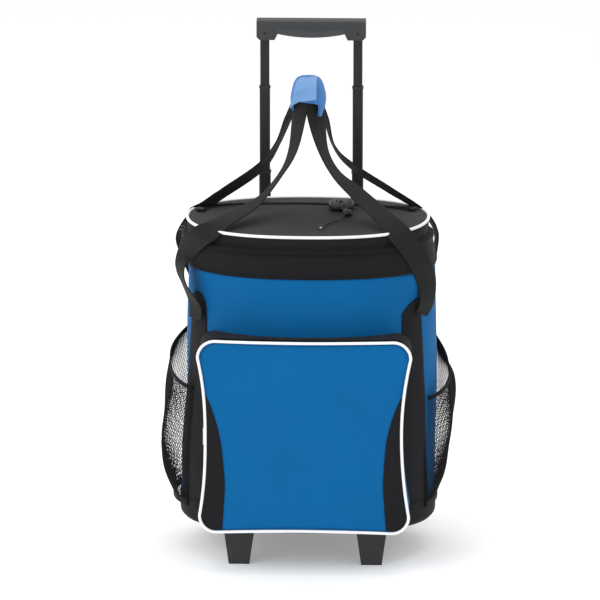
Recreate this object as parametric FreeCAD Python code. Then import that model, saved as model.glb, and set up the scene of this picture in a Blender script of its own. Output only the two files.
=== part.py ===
"""Rolling soft cooler bag with a telescoping trolley handle, as separate solids in millimetres.

+Z is up, -Y is the front (pocket side), +X is the right-hand side seen from the front.
"""
import FreeCAD, Part
import math
import os

V = FreeCAD.Vector
UP = V(0, 0, 1)

# --- bag plan and heights ---
BAG_HALF_W = 170.0      # half width of the fabric tub
BAG_HALF_D = 119.0      # half depth of the fabric tub
PLAN_POWER = 2.3        # exponent of the near-oval plan
BASE_Z = 46.0           # ground to the underside of the base board
TRIM_H = 34.0           # height of the black base trim
SHELL_H = 348.0         # height of the blue wall above the base board
BAND_H = 34.0           # height of the black upper band
# --- layers ---
BOARD_T = 6.0
SHELL_T = 1.5
FOAM_T = 8.0
LINER_T = 1.0
TRIM_T = 1.2
ZIP_H = 2.6             # height of each half of the main zip
ZIP_PROUD = 0.8         # how far the main zip stands outside the wall
ZIP_DEPTH = 3.0         # how far the lower zip tape reaches inward
GAP = 0.3               # gap between pieces that move apart
FIT = 0.25              # gap between telescoping tubes
BEARING_GAP = 0.05      # radial gap between axle and hub
# --- lid ---
LID_INSET = (7.0, 3.0)   # how far the lid's sides and its front stand inside the tub's
SKIRT_H = 19.5
LID_SHEET_T = 2.0
LID_FOAM_T = 14.0
PIPING_R = 2.0
PIPING_DROP = 1.0       # how far the lid piping hangs below the lid's sheet
PIPING_RISE = 0.5       # how far it stands above the lid's top
HINGE_HALF_W = 100.0    # half length of the fabric hinge along the rear
LID_ZIP_Y = 61.0
LID_ZIP_X0 = -113.0
LID_ZIP_X1 = 79.0
LID_ZIP_W = 12.0
LID_ZIP_T = 0.8
LID_SLIDER_X = 48.0
LID_SLIDER = (12.0, 10.0, 4.0)
LID_PAD = (26.0, 30.0, 3.0)
LID_CORD_R = 1.3
LID_CORD_TIP = (16.0, -76.0)
# --- main zip sliders ---
MAIN_SLIDER_Y = (8.0, 28.0)
MAIN_SLIDER = (5.0, 9.0, 7.0)
PULL_T = 1.6
PULL_W = 6.0
PULL_L = 24.0
# --- front pocket ---
POCKET_DEPTH = 39.0     # face in front of the tub's foremost line
POCKET_HALF_TOP = 143.0
POCKET_HALF_WAIST = 131.0
POCKET_HALF_BASE = 141.0
POCKET_Z0 = 57.0
POCKET_Z1 = 320.0
POCKET_WAIST_Z = 195.0
POCKET_CORNER = 24.0
POCKET_FOLD_Z = 200.0   # ends of the pocket zip, where the face folds forward
GUSSET_T = 2.0
FACE_T = 1.5
ACCENT_T = 0.8
PIPE_W = 3.0
POCKET_ZIP_BACK = 18.0  # pocket zip's rear edge behind the face
POCKET_ZIP_W = 6.0
POCKET_SLIDER_OFF = 2.4 # gap between the waist of the pocket and its slider
ACCENT_TOP = (138.0, 252.0)
ACCENT_NECK = (114.0, 194.0)
ACCENT_MID = (107.5, 134.0)
ACCENT_LOW = (108.5, 95.0)
ACCENT_FOOT_X = 113.0
# --- corner accent bands ---
BAND_DROP = 34.0        # below the top of the blue wall
BAND_TOP_IN = (37.0, 17.0)   # inner and outer edge at the top, inward from the tub's side
BAND_FOOT_IN = (46.0, 4.0)   # the same at the foot
# --- mesh side pockets ---
MESH_INSET = 20.0       # centre of the pocket's plan, inward from the tub's side
MESH_Y = 22.0
MESH_HALF_W = 52.0
MESH_HALF_D = 84.0
MESH_T = 1.5
MESH_FRONT_Z = 232.0
MESH_REAR_Z = 308.0
BINDING_H = 8.0
BINDING_T = 3.0
# --- trolley ---
TUBE_X = 64.0
TUBE_BACK = 15.0        # tube line behind the tub's rearmost line
TUBE_WALL = 0.6
OUTER_TUBE = (16.0, 12.0)
OUTER_TUBE_FOOT = 62.0
OUTER_TUBE_OVER = 31.0  # how far the outer tubes stand above the lid
COLLAR_H = 3.0
COLLAR_RIM = 0.7
MIDDLE_OUT = 116.0      # how far the middle stage stands out at rest
UPPER_OUT = 66.0        # how far the upper stage stands out at rest
STAGE_MAX = 230.0       # longest reach of a stage
STAGE_HOLD = 90.0       # length of tube kept inside at the longest reach
GLIDE_H = 6.0
GLIDE_GAP = 0.15
GRIP_OVERHANG = 11.0    # grip's end outside the tube line
GRIP_D = 24.0
GRIP_HUB_REACH = 14.0   # hub's inner side, inside the tube line
GRIP_SLOPE = 4.0        # slope of the hub's inner side
GRIP_CHAMFER = 4.0
GRIP_HUB_H = 27.5
GRIP_BAR_H = 19.0
GRIP_BOW = 5.0
GRIP_INSERT_H = 12.5
GRIP_SOCKET = 15.0
GRIP_SCREW_R = 2.0
GRIP_SCREW_UP = 9.0
PANEL_SIDE_GAP = 2.7    # between the back panel and the wheel housings
PANEL_FOOT = 58.0
PANEL_DROP = 6.0        # below the rim
PANEL_GAP = 0.3
BRIDGE_H = 30.0
BRIDGE_DROP = 3.0       # below the top of the back panel
BRIDGE_REACH = 20.0     # bridge's end outside the tube line
BRACKET_D = 15.0
BASE_BRACKET_Z = (46.0, 90.0)
SCREW_R = 3.5
SCREW_H = 2.0
SCREW_X = 34.0
# --- wheels ---
WHEEL_R = 34.0
WHEEL_W = 20.0
WHEEL_X = 108.0
WHEEL_GAP = 0.6         # between the tub's rear and the wheel's foremost line
TYRE_T = 8.0
HUB_BOSS_R = 8.0
HUB_RIM_T = 3.0
HUB_WEB_T = 6.0
HUB_HOLES = 5
HUB_HOLE_R = 4.5
AXLE_R = 3.0
CHEEK_T = 4.5
WHEEL_SIDE_GAP = 0.8
HOUSING_GAP = 2.5
HOUSING_BACK = 20.0
HOUSING_FOOT = 26.0
HOUSING_ROOF = 8.0      # above the wheel's top
CAP_R = 6.0
CAP_T = 3.2
CAP_COVER = 1.2
# --- front feet ---
FOOT_X = 90.0
FOOT_IN = 24.0          # foot's centre, behind the tub's foremost line
FOOT_LEAN = -6.0
FOOT_TOP = (41.0, 32.0)
FOOT_TIP = (28.0, 22.0)
FOOT_SCREW_R = 2.2
FOOT_SCREW_IN = 18.0
# --- carry straps ---
STRAP_W = 30.0
STRAP_T = 2.0
STRAP_ANCHOR_Y = 66.0   # sewn ends, in front of and behind the tub's middle
STRAP_ANCHOR_DROP = 14.0  # sewn ends below the top of the accent bands
STRAP_ANCHOR_OFF = 2.8  # sewn ends outside the wall
STRAP_TUCK = 6.0        # how far the straight part of each loop reaches into the wrap
WRAP_HALF_W = 21.0
WRAP_HALF_D = 34.0
WRAP_T = 4.5
WRAP_OVER = 153.0       # wrap's foot above the lid
WRAP_H = 48.0
FLAP_T = 1.5
FLAP_HALF_D = 30.0
FLAP_EDGE_X = 8.0


def plan_half_x(y, half_w, half_d):
    """Half width of the near-oval plan at depth y."""
    return half_w * (1 - abs(y / half_d) ** PLAN_POWER) ** (1 / PLAN_POWER)


def plan_half_y(x, half_w, half_d):
    """Half depth of the near-oval plan at width x."""
    return half_d * (1 - abs(x / half_w) ** PLAN_POWER) ** (1 / PLAN_POWER)


def plan_run(x, y, half_w, half_d):
    """Direction along the near-oval plan at its rear-left point (-x, y), as (sideways, rearward)."""
    sideways = (y / half_d) ** (PLAN_POWER - 1) / half_d
    rearward = (x / half_w) ** (PLAN_POWER - 1) / half_w
    length = math.hypot(sideways, rearward)
    return sideways / length, rearward / length


# --- worked out from the sizes above ---
FLOOR_Z = BASE_Z + BOARD_T
SHELL_TOP = FLOOR_Z + SHELL_H
RIM_Z = SHELL_TOP + BAND_H
LID_HALF_W = BAG_HALF_W - LID_INSET[0]
LID_HALF_D = BAG_HALF_D - LID_INSET[1]
LID_Z = RIM_Z + 2 * ZIP_H + GAP
LID_SHEET_Z = LID_Z + SKIRT_H
LID_TOP = LID_SHEET_Z + LID_SHEET_T
LID_ZIP_TOP = LID_TOP + LID_ZIP_T
FACE_Y = -(BAG_HALF_D + POCKET_DEPTH)
ZIP_BACK_Y = FACE_Y + POCKET_ZIP_BACK
ZIP_MID_Y = ZIP_BACK_Y - POCKET_ZIP_W / 2
ZIP_FRONT_Y = ZIP_BACK_Y - POCKET_ZIP_W
POCKET_FRONT = FACE_Y - PIPING_R
MIDDLE_TUBE = tuple(s - 2 * TUBE_WALL - 2 * FIT for s in OUTER_TUBE)
UPPER_TUBE = tuple(s - 2 * TUBE_WALL - 2 * FIT for s in MIDDLE_TUBE)
TUBE_Y = BAG_HALF_D + TUBE_BACK
OUTER_TUBE_Z = (OUTER_TUBE_FOOT, LID_TOP + OUTER_TUBE_OVER)
OUTER_TOP = OUTER_TUBE_Z[1] + COLLAR_H
MIDDLE_TOP = OUTER_TOP + MIDDLE_OUT
GRIP_Z = MIDDLE_TOP + COLLAR_H + UPPER_OUT
GRIP_TOP = GRIP_Z + GRIP_HUB_H
MIDDLE_FOOT = OUTER_TOP + MIDDLE_OUT - STAGE_MAX - STAGE_HOLD
UPPER_FOOT = max(GRIP_Z - STAGE_MAX - STAGE_HOLD, MIDDLE_FOOT + UPPER_OUT + GLIDE_H + COLLAR_H)
GRIP_HALF_W = TUBE_X + GRIP_OVERHANG
GRIP_HUB_IN = TUBE_X - GRIP_HUB_REACH
PANEL_Y = TUBE_Y - OUTER_TUBE[1] / 2 - PANEL_GAP
PANEL_Z = (PANEL_FOOT, RIM_Z - PANEL_DROP)
BRIDGE_Z = (PANEL_Z[1] - BRIDGE_DROP - BRIDGE_H, PANEL_Z[1] - BRIDGE_DROP)
BRIDGE_HALF_W = TUBE_X + BRIDGE_REACH
BRACKET_Y = PANEL_Y + BRACKET_D
WHEEL_IN = WHEEL_X - WHEEL_W / 2
WHEEL_OUT = WHEEL_X + WHEEL_W / 2
HOUSING_IN = WHEEL_IN - WHEEL_SIDE_GAP - CHEEK_T
HOUSING_OUT = WHEEL_OUT + WHEEL_SIDE_GAP + CHEEK_T
HOUSING_Z = (HOUSING_FOOT, 2 * WHEEL_R + HOUSING_ROOF)
HOUSING_REACH = WHEEL_R + HOUSING_GAP
PANEL_HALF_W = HOUSING_IN - PANEL_SIDE_GAP
BAND_TOP_Z = SHELL_TOP - BAND_DROP
BAND_TOP_X = tuple(BAG_HALF_W - inward for inward in BAND_TOP_IN)
BAND_FOOT_X = tuple(BAG_HALF_W - inward for inward in BAND_FOOT_IN)
MESH_X = BAG_HALF_W - MESH_INSET
FOOT_Y = FOOT_IN - BAG_HALF_D
STRAP_ANCHOR_Z = BAND_TOP_Z - STRAP_ANCHOR_DROP
WRAP_Z = (LID_TOP + WRAP_OVER, LID_TOP + WRAP_OVER + WRAP_H)
TUB_REAR_AT_WHEEL = plan_half_y(WHEEL_IN, BAG_HALF_W, BAG_HALF_D) + TRIM_T
WHEEL_Y = TUB_REAR_AT_WHEEL + WHEEL_GAP + WHEEL_R
FRAME_Y = -(WHEEL_Y + WHEEL_R + POCKET_FRONT) / 2
FAR = 1000.0
SIDES = (("left", -1), ("right", 1))
CORNERS = ((-1, -1), (1, -1), (1, 1), (-1, 1))


def oval(half_w, half_d, z0, z1, cx=0.0, cy=0.0):
    """Upright prism on |x/a|^n + |y/b|^n = 1."""
    points = []
    steps = 48
    for i in range(steps):
        t = 2 * math.pi * (i + 0.5) / steps
        c, s = math.cos(t), math.sin(t)
        x = math.copysign(abs(c) ** (2 / PLAN_POWER), c) * half_w
        y = math.copysign(abs(s) ** (2 / PLAN_POWER), s) * half_d
        points.append(V(cx + x, cy + y, z0))
    curve = Part.BSplineCurve()
    curve.interpolate(Points=points, PeriodicFlag=True)
    return Part.Face(Part.Wire(curve.toShape())).extrude(UP * (z1 - z0))


def bag(outset, z0, z1):
    """Prism on the tub's outline, moved outward by outset."""
    return oval(BAG_HALF_W + outset, BAG_HALF_D + outset, z0, z1)


def lid(outset, z0, z1):
    """Prism on the lid's outline, moved outward by outset."""
    return oval(LID_HALF_W + outset, LID_HALF_D + outset, z0, z1)


def block(x0, x1, y0, y1, z0, z1):
    """Box between two corners."""
    return Part.makeBox(x1 - x0, y1 - y0, z1 - z0, V(x0, y0, z0))


def rod(radius, start, end):
    """Cylinder from start to end."""
    run = V(*end) - V(*start)
    return Part.makeCylinder(radius, run.Length, V(*start), run)


def plate_xz(points, y0, y1):
    """Straight-sided outline in XZ, extruded from y0 to y1."""
    corners = [V(x, y0, z) for x, z in points]
    return Part.Face(Part.makePolygon(corners + corners[:1])).extrude(V(0, y1 - y0, 0))


def plate_yz(points, x0, x1):
    """Straight-sided outline in YZ, extruded from x0 to x1."""
    corners = [V(x0, y, z) for y, z in points]
    return Part.Face(Part.makePolygon(corners + corners[:1])).extrude(V(x1 - x0, 0, 0))


def mirrored(shape):
    """The shape's copy on the other side of the YZ plane."""
    return shape.mirror(V(0, 0, 0), V(1, 0, 0))


def on_side(shape, sign):
    """A right-hand shape as it is, or its left-hand copy."""
    return shape if sign > 0 else mirrored(shape)


def both(shape):
    """A right-hand shape and its left-hand copy, as separate solids."""
    return Part.makeCompound(shape.Solids + mirrored(shape).Solids)


def write(name, shape):
    """Write one node, centred front to back."""
    moved = shape.copy()
    moved.translate(V(0, FRAME_Y, 0))
    solids = moved.Solids
    out = solids[0] if len(solids) == 1 else Part.makeCompound(solids)
    if not solids or not out.isValid():
        raise ValueError(f"{name} has no sound solid")
    out.exportStep(f"parts/{name}.step")


def tub():
    """Base board, wall layers and the rim."""
    rear = block(-HINGE_HALF_W, HINGE_HALF_W, 0, FAR, 0, FAR)
    board = bag(0, BASE_Z, FLOOR_Z)
    for _, sign in SIDES:
        board = board.cut(foot_screw(sign))
    write("base_board", board)
    write("base_trim", bag(TRIM_T, BASE_Z, BASE_Z + TRIM_H).cut(bag(0, 0, FAR)))
    write("outer_shell", bag(0, FLOOR_Z, SHELL_TOP).cut(bag(-SHELL_T, 0, FAR)))
    write("upper_band", bag(0, SHELL_TOP, RIM_Z).cut(bag(-SHELL_T, 0, FAR)))
    inner = SHELL_T + FOAM_T
    foam_floor = FLOOR_Z + FOAM_T
    write("insulation_foam", bag(-SHELL_T, FLOOR_Z, RIM_Z).cut(bag(-inner, foam_floor, FAR)))
    liner = bag(-inner, foam_floor, RIM_Z).cut(bag(-inner - LINER_T, foam_floor + LINER_T, FAR))
    write("liner", liner)
    zip_ring = bag(ZIP_PROUD, RIM_Z, RIM_Z + ZIP_H).cut(bag(-ZIP_DEPTH, 0, FAR))
    write("main_zip_lower", zip_ring.cut(rear))
    strip = bag(ZIP_PROUD, RIM_Z, LID_TOP).cut(bag(ZIP_PROUD - SHELL_T, 0, FAR))
    write("lid_hinge_strip", strip.common(rear))
    write("accent_bands", both(accent_band()))


def accent_band():
    """Right-hand black strip at a front corner, widening downward."""
    top, foot = BASE_Z + TRIM_H, BAND_TOP_Z
    outline = [(BAND_FOOT_X[0], top), (BAND_FOOT_X[1], top), (BAND_TOP_X[1], foot), (BAND_TOP_X[0], foot)]
    skin = bag(TRIM_T, top, BAND_TOP_Z).cut(bag(0, 0, FAR))
    return skin.common(plate_xz(outline, -FAR, 0))


def lid_pieces():
    """The lid's layers, its piping and its upper zip half."""
    rear = block(-HINGE_HALF_W - GAP, HINGE_HALF_W + GAP, 0, FAR, 0, FAR)
    zip_z = RIM_Z + ZIP_H + GAP
    zip_ring = bag(ZIP_PROUD, zip_z, LID_Z).cut(lid(-SHELL_T, 0, FAR))
    write("main_zip_upper", zip_ring.cut(rear))
    write("lid_skirt", lid(0, LID_Z, LID_SHEET_Z).cut(lid(-SHELL_T, 0, FAR)))
    write("lid_top", lid(0, LID_SHEET_Z, LID_TOP))
    foam_z = LID_SHEET_Z - LID_FOAM_T
    write("lid_foam", lid(-SHELL_T, foam_z, LID_SHEET_Z))
    write("lid_liner", lid(-SHELL_T, foam_z - LINER_T, foam_z))
    pipe = lid(PIPING_R, LID_SHEET_Z - PIPING_DROP, LID_TOP + PIPING_RISE).cut(lid(0, 0, FAR))
    write("lid_piping", pipe)
    half = LID_ZIP_W / 2
    y0, y1 = LID_ZIP_Y - half, LID_ZIP_Y + half
    write("lid_pocket_zip", block(LID_ZIP_X0, LID_ZIP_X1, y0, y1, LID_TOP, LID_ZIP_TOP))


def lid_pull():
    """Slider of the lid pocket, its pad and its corded puller."""
    w, d, h = LID_SLIDER
    z = LID_ZIP_TOP + GAP
    x0, x1 = LID_SLIDER_X - w / 2, LID_SLIDER_X + w / 2
    write("lid_zip_slider", block(x0, x1, LID_ZIP_Y - d / 2, LID_ZIP_Y + d / 2, z, z + h))
    pw, pd, ph = LID_PAD
    back = LID_ZIP_Y - d / 2 - GAP
    pad = block(LID_SLIDER_X - pw / 2, LID_SLIDER_X + pw / 2, back - pd, back, z, z + ph)
    start = (LID_SLIDER_X, back - pd, z + LID_CORD_R)
    end = (LID_CORD_TIP[0], LID_CORD_TIP[1], z + LID_CORD_R)
    cord = rod(LID_CORD_R, start, end).cut(pad)
    write("lid_puller", Part.makeCompound([pad, cord]))


def pull_tab(x, y, top):
    """Hanging tab of a zip slider, centred on x and y."""
    return block(x - PULL_T / 2, x + PULL_T / 2, y - PULL_W / 2, y + PULL_W / 2, top - PULL_L, top)


def main_sliders():
    """Two sliders of the main zip at the left end, each with a hanging tab."""
    d, w, h = MAIN_SLIDER
    middle = RIM_Z + ZIP_H / 2
    sliders = []
    for name, y in zip(("front", "rear"), MAIN_SLIDER_Y):
        x = -plan_half_x(abs(y) - w / 2, BAG_HALF_W + ZIP_PROUD, BAG_HALF_D + ZIP_PROUD) - GAP
        sliders.append(block(x - d, x, y - w / 2, y + w / 2, middle - h / 2, middle + h / 2))
        top = middle - h / 2 - GAP
        write(f"main_pull_{name}", pull_tab(x - d / 2, y, top))
    write("main_zip_sliders", Part.makeCompound(sliders))


def pocket_side(inset):
    """Wire of the pocket's outline in XZ: flat top and base, round corners, waisted sides."""
    top, waist, base = (w - inset for w in (POCKET_HALF_TOP, POCKET_HALF_WAIST, POCKET_HALF_BASE))
    z0, z1, r = POCKET_Z0 + inset, POCKET_Z1 - inset, POCKET_CORNER - inset
    k = r * (1 - math.sqrt(0.5))

    def at(x, z):
        return V(x, 0, z)

    edges = [
        Part.LineSegment(at(r - top, z1), at(top - r, z1)).toShape(),
        Part.Arc(at(top - r, z1), at(top - k, z1 - k), at(top, z1 - r)).toShape(),
        Part.Arc(at(top, z1 - r), at(waist, POCKET_WAIST_Z), at(base, z0 + r)).toShape(),
        Part.Arc(at(base, z0 + r), at(base - k, z0 + k), at(base - r, z0)).toShape(),
        Part.LineSegment(at(base - r, z0), at(r - base, z0)).toShape(),
        Part.Arc(at(r - base, z0), at(k - base, z0 + k), at(-base, z0 + r)).toShape(),
        Part.Arc(at(-base, z0 + r), at(-waist, POCKET_WAIST_Z), at(-top, z1 - r)).toShape(),
        Part.Arc(at(-top, z1 - r), at(k - top, z1 - k), at(r - top, z1)).toShape(),
    ]
    return Part.Wire(edges)


def pocket_solid(inset, y0, y1):
    """The pocket's outline extruded from y0 to y1."""
    face = Part.Face(pocket_side(inset))
    face.translate(V(0, y0, 0))
    return face.extrude(V(0, y1 - y0, 0))


def pocket_ring(width, y0, y1):
    """A band of the given width just inside the pocket's outline."""
    return pocket_solid(0, y0, y1).cut(pocket_solid(width, y0 - 1, y1 + 1))


def accent_panel():
    """Right-hand black side panel of the pocket face, bounded by two arcs."""
    y = FACE_Y - ACCENT_T
    foot = (ACCENT_FOOT_X, POCKET_Z0)
    curve = (ACCENT_TOP, ACCENT_NECK, ACCENT_MID, ACCENT_LOW, foot)
    top, neck, mid, low, end = (V(x, y, z) for x, z in curve)
    out_low, out_top = V(FAR, y, POCKET_Z0), V(FAR, y, ACCENT_TOP[1])
    edges = [
        Part.Arc(top, neck, mid).toShape(),
        Part.Arc(mid, low, end).toShape(),
        Part.LineSegment(end, out_low).toShape(),
        Part.LineSegment(out_low, out_top).toShape(),
        Part.LineSegment(out_top, top).toShape(),
    ]
    region = Part.Face(Part.Wire(edges)).extrude(V(0, ACCENT_T, 0))
    return region.common(pocket_solid(PIPE_W, y, FACE_Y))


def front_pocket():
    """The zipped front pocket, with its upper front half as a separate fold."""
    upper = block(-FAR, FAR, -FAR, 0, POCKET_FOLD_Z + GAP, FAR)
    lower = block(-FAR, FAR, -FAR, 0, 0, POCKET_FOLD_Z)
    behind = FACE_Y + FACE_T
    rear_ring = pocket_ring(GUSSET_T, ZIP_BACK_Y, 0).cut(bag(TRIM_T, 0, FAR))
    front_ring = pocket_ring(GUSSET_T, behind, ZIP_BACK_Y)
    write("pocket_gusset", rear_ring.fuse(front_ring.common(lower)).removeSplitter())
    write("pocket_zip_rear", pocket_ring(GUSSET_T, ZIP_MID_Y + GAP / 2, ZIP_BACK_Y).common(upper))
    write("pocket_zip_front", pocket_ring(GUSSET_T, ZIP_FRONT_Y, ZIP_MID_Y - GAP / 2).common(upper))
    write("pocket_gusset_front", pocket_ring(GUSSET_T, behind, ZIP_FRONT_Y).common(upper))
    face = pocket_solid(0, FACE_Y, behind)
    piping = pocket_ring(PIPE_W, POCKET_FRONT, FACE_Y)
    accents = both(accent_panel())
    for name, part in (("upper", upper), ("lower", lower)):
        write(f"pocket_face_{name}", face.common(part))
        write(f"pocket_piping_{name}", piping.common(part))
        write(f"pocket_accents_{name}", accents.common(part))


def pocket_slider():
    """Slider and hanging tab at the left end of the pocket zip."""
    d, w, h = MAIN_SLIDER
    z = POCKET_FOLD_Z + 2 * GAP
    x = -POCKET_HALF_WAIST - POCKET_SLIDER_OFF
    write("pocket_slider", block(x - d, x, ZIP_MID_Y - w / 2, ZIP_MID_Y + w / 2, z, z + h))
    write("pocket_pull", pull_tab(x - d / 2, ZIP_MID_Y, z - GAP))


def slant(drop, thick=FAR):
    """Everything under the mesh pocket's slanting top edge, lowered by drop."""
    y0, y1 = MESH_Y - MESH_HALF_D, MESH_Y + MESH_HALF_D
    z0, z1 = MESH_FRONT_Z - drop, MESH_REAR_Z - drop
    slope = (z1 - z0) / (y1 - y0)
    reach = MESH_HALF_D
    outline = [
        (y0 - reach, z0 - slope * reach),
        (y1 + reach, z1 + slope * reach),
        (y1 + reach, z1 + slope * reach - thick),
        (y0 - reach, z0 - slope * reach - thick),
    ]
    return plate_yz(outline, 0, FAR)


def side_pockets():
    """Mesh bottle pockets and their bound top edges."""
    z0, z1 = BASE_Z + TRIM_H, MESH_REAR_Z
    body = bag(TRIM_T + GAP, 0, FAR)
    right = block(0, FAR, -FAR, FAR, 0, FAR)

    def sleeve(outset, foot):
        return oval(MESH_HALF_W + outset, MESH_HALF_D + outset, foot, z1, MESH_X, MESH_Y)

    net = sleeve(0, z0).cut(sleeve(-MESH_T, z0 + MESH_T))
    net = net.common(slant(BINDING_H)).common(right).cut(body)
    proud = (BINDING_T - MESH_T) / 2
    edge = sleeve(proud, z0).cut(sleeve(-MESH_T - proud, z0))
    edge = edge.common(slant(0, BINDING_H)).common(right).cut(body)
    for name, sign in SIDES:
        write(f"mesh_pocket_{name}", on_side(net, sign))
    write("mesh_bindings", both(edge))


def bar(size, z0, z1):
    """Solid bar of the tube section on the right-hand tube line, with rounded edges."""
    w, d = size
    solid = block(TUBE_X - w / 2, TUBE_X + w / 2, TUBE_Y - d / 2, TUBE_Y + d / 2, z0, z1)
    upright = [e for e in solid.Edges if abs(e.tangentAt(e.FirstParameter).z) > 0.99]
    return solid.makeFillet(min(w, d) / 4, upright)


def grown(size, by):
    """A section made larger by the same amount on every side."""
    return tuple(s + 2 * by for s in size)


def tube(size, z0, z1):
    """Thin-walled trolley tube."""
    return bar(size, z0, z1).cut(bar(grown(size, -TUBE_WALL), z0 - 1, z1 + 1))


def grip_screw(sign):
    """Screw through a grip hub and the tube inside it."""
    z = GRIP_Z + GRIP_SCREW_UP
    return rod(GRIP_SCREW_R, (sign * TUBE_X, TUBE_Y - GRIP_D / 2, z), (sign * TUBE_X, TUBE_Y + GRIP_D / 2, z))


def trolley():
    """Three telescoping stages and the grip."""
    screws = [grip_screw(1), grip_screw(-1)]
    upper = tube(UPPER_TUBE, UPPER_FOOT, GRIP_Z + GRIP_SOCKET).cut(screws[0])
    middle_bore = grown(MIDDLE_TUBE, -TUBE_WALL)
    outer_bore = grown(OUTER_TUBE, -TUBE_WALL)
    middle_neck = bar(grown(UPPER_TUBE, FIT), 0, FAR)
    outer_neck = bar(grown(MIDDLE_TUBE, FIT), 0, FAR)
    write("outer_tubes", both(tube(OUTER_TUBE, *OUTER_TUBE_Z)))
    write("middle_tubes", both(tube(MIDDLE_TUBE, MIDDLE_FOOT, MIDDLE_TOP)))
    write("upper_tubes", both(upper))
    collar = bar(grown(OUTER_TUBE, COLLAR_RIM), OUTER_TUBE_Z[1], OUTER_TOP).cut(outer_neck)
    write("outer_collars", both(collar))
    collar = bar(grown(MIDDLE_TUBE, COLLAR_RIM), MIDDLE_TOP, MIDDLE_TOP + COLLAR_H).cut(middle_neck)
    write("middle_collars", both(collar))
    write("middle_glides", both(bar(grown(outer_bore, -GLIDE_GAP), MIDDLE_FOOT - GLIDE_H, MIDDLE_FOOT)))
    write("upper_glides", both(bar(grown(middle_bore, -GLIDE_GAP), UPPER_FOOT - GLIDE_H, UPPER_FOOT)))
    write("grip_screws", Part.makeCompound(screws))
    grip(screws)


def grip(screws):
    """Grip casing with two hubs and a bowed underside insert."""
    y0, y1 = TUBE_Y - GRIP_D / 2, TUBE_Y + GRIP_D / 2
    bar_z = GRIP_TOP - GRIP_BAR_H
    hub = GRIP_HUB_IN - GRIP_SLOPE
    right = [
        (hub, bar_z),
        (GRIP_HUB_IN, GRIP_Z),
        (GRIP_HALF_W - GRIP_CHAMFER, GRIP_Z),
        (GRIP_HALF_W, GRIP_Z + GRIP_CHAMFER),
        (GRIP_HALF_W, GRIP_TOP),
    ]
    outline = right + [(-x, z) for x, z in reversed(right)]
    casing = plate_xz(outline, y0, y1)
    top = GRIP_TOP - GRIP_INSERT_H
    ends = [V(-hub, y0, bar_z), V(0, y0, bar_z - GRIP_BOW), V(hub, y0, bar_z)]
    lift = [V(hub, y0, top), V(0, y0, top - GRIP_BOW / 2), V(-hub, y0, top)]
    edges = [
        Part.Arc(*ends).toShape(),
        Part.LineSegment(ends[2], lift[0]).toShape(),
        Part.Arc(*lift).toShape(),
        Part.LineSegment(lift[2], ends[0]).toShape(),
    ]
    insert = Part.Face(Part.Wire(edges)).extrude(V(0, y1 - y0, 0))
    top_edges = [e for e in casing.Edges if e.BoundBox.ZMin > GRIP_TOP - GAP]
    long_edges = [e for e in top_edges if e.BoundBox.XLength > GRIP_HALF_W]
    casing = casing.makeFillet(GRIP_D / 6, long_edges).cut(insert)
    sockets = both(bar(UPPER_TUBE, 0, GRIP_Z + GRIP_SOCKET))
    casing = casing.cut(sockets)
    for screw in screws:
        casing = casing.cut(screw)
    write("grip_casing", casing)
    write("grip_insert", insert)


def backing():
    """Back panel and the two brackets that hold the outer tubes."""
    tubes = both(bar(OUTER_TUBE, *OUTER_TUBE_Z))
    panel = block(-PANEL_HALF_W, PANEL_HALF_W, 0, PANEL_Y, *PANEL_Z).cut(bag(TRIM_T, 0, FAR))
    write("back_panel", panel)
    bridge = block(-BRIDGE_HALF_W, BRIDGE_HALF_W, PANEL_Y, BRACKET_Y, *BRIDGE_Z).cut(tubes)
    foot = block(-HOUSING_IN, HOUSING_IN, PANEL_Y, BRACKET_Y, *BASE_BRACKET_Z).cut(tubes)
    write("trolley_brackets", Part.makeCompound([bridge, foot]))
    heads = []
    for zs in (BRIDGE_Z, BASE_BRACKET_Z):
        z = sum(zs) / 2
        heads.append(rod(SCREW_R, (SCREW_X, BRACKET_Y, z), (SCREW_X, BRACKET_Y + SCREW_H, z)))
    heads = both(Part.makeCompound(heads)).Solids
    write("body_screws", Part.makeCompound(heads + [foot_screw(1), foot_screw(-1)]))


def wheel_housing():
    """Right-hand wheel well: two cheeks and a roof, open below and behind."""
    y0 = WHEEL_Y - HOUSING_REACH
    well = block(HOUSING_IN, HOUSING_OUT, y0, WHEEL_Y + HOUSING_BACK, *HOUSING_Z)
    slot = rod(
        WHEEL_R + HOUSING_GAP,
        (WHEEL_IN - WHEEL_SIDE_GAP, WHEEL_Y, WHEEL_R),
        (WHEEL_OUT + WHEEL_SIDE_GAP, WHEEL_Y, WHEEL_R),
    )
    clear = block(0, FAR, -FAR, WHEEL_Y, 0, BASE_Z).common(bag(TRIM_T, 0, BASE_Z))
    well = well.cut(slot).cut(bag(TRIM_T + GAP, 0, FAR)).cut(clear)
    return well.cut(block(0, PANEL_HALF_W + GAP, 0, PANEL_Y, *PANEL_Z))


def wheel_hub():
    """Right-hand hub: rim, pierced web and boss on the axle line."""
    rim_r = WHEEL_R - TYRE_T
    y, z = WHEEL_Y, WHEEL_R

    def disc(radius, half):
        return rod(radius, (WHEEL_X - half, y, z), (WHEEL_X + half, y, z))

    half = WHEEL_W / 2
    hub = disc(rim_r, half).cut(disc(rim_r - HUB_RIM_T, half + 1))
    hub = hub.fuse(disc(rim_r - HUB_RIM_T / 2, HUB_WEB_T / 2)).fuse(disc(HUB_BOSS_R, half))
    ring_r = (rim_r - HUB_RIM_T + HUB_BOSS_R) / 2
    for i in range(HUB_HOLES):
        a = 2 * math.pi * i / HUB_HOLES
        cy, cz = y + ring_r * math.cos(a), z + ring_r * math.sin(a)
        hub = hub.cut(rod(HUB_HOLE_R, (WHEEL_X - half, cy, cz), (WHEEL_X + half, cy, cz)))
    return hub.cut(disc(AXLE_R + BEARING_GAP, half + 1)).removeSplitter()


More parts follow.
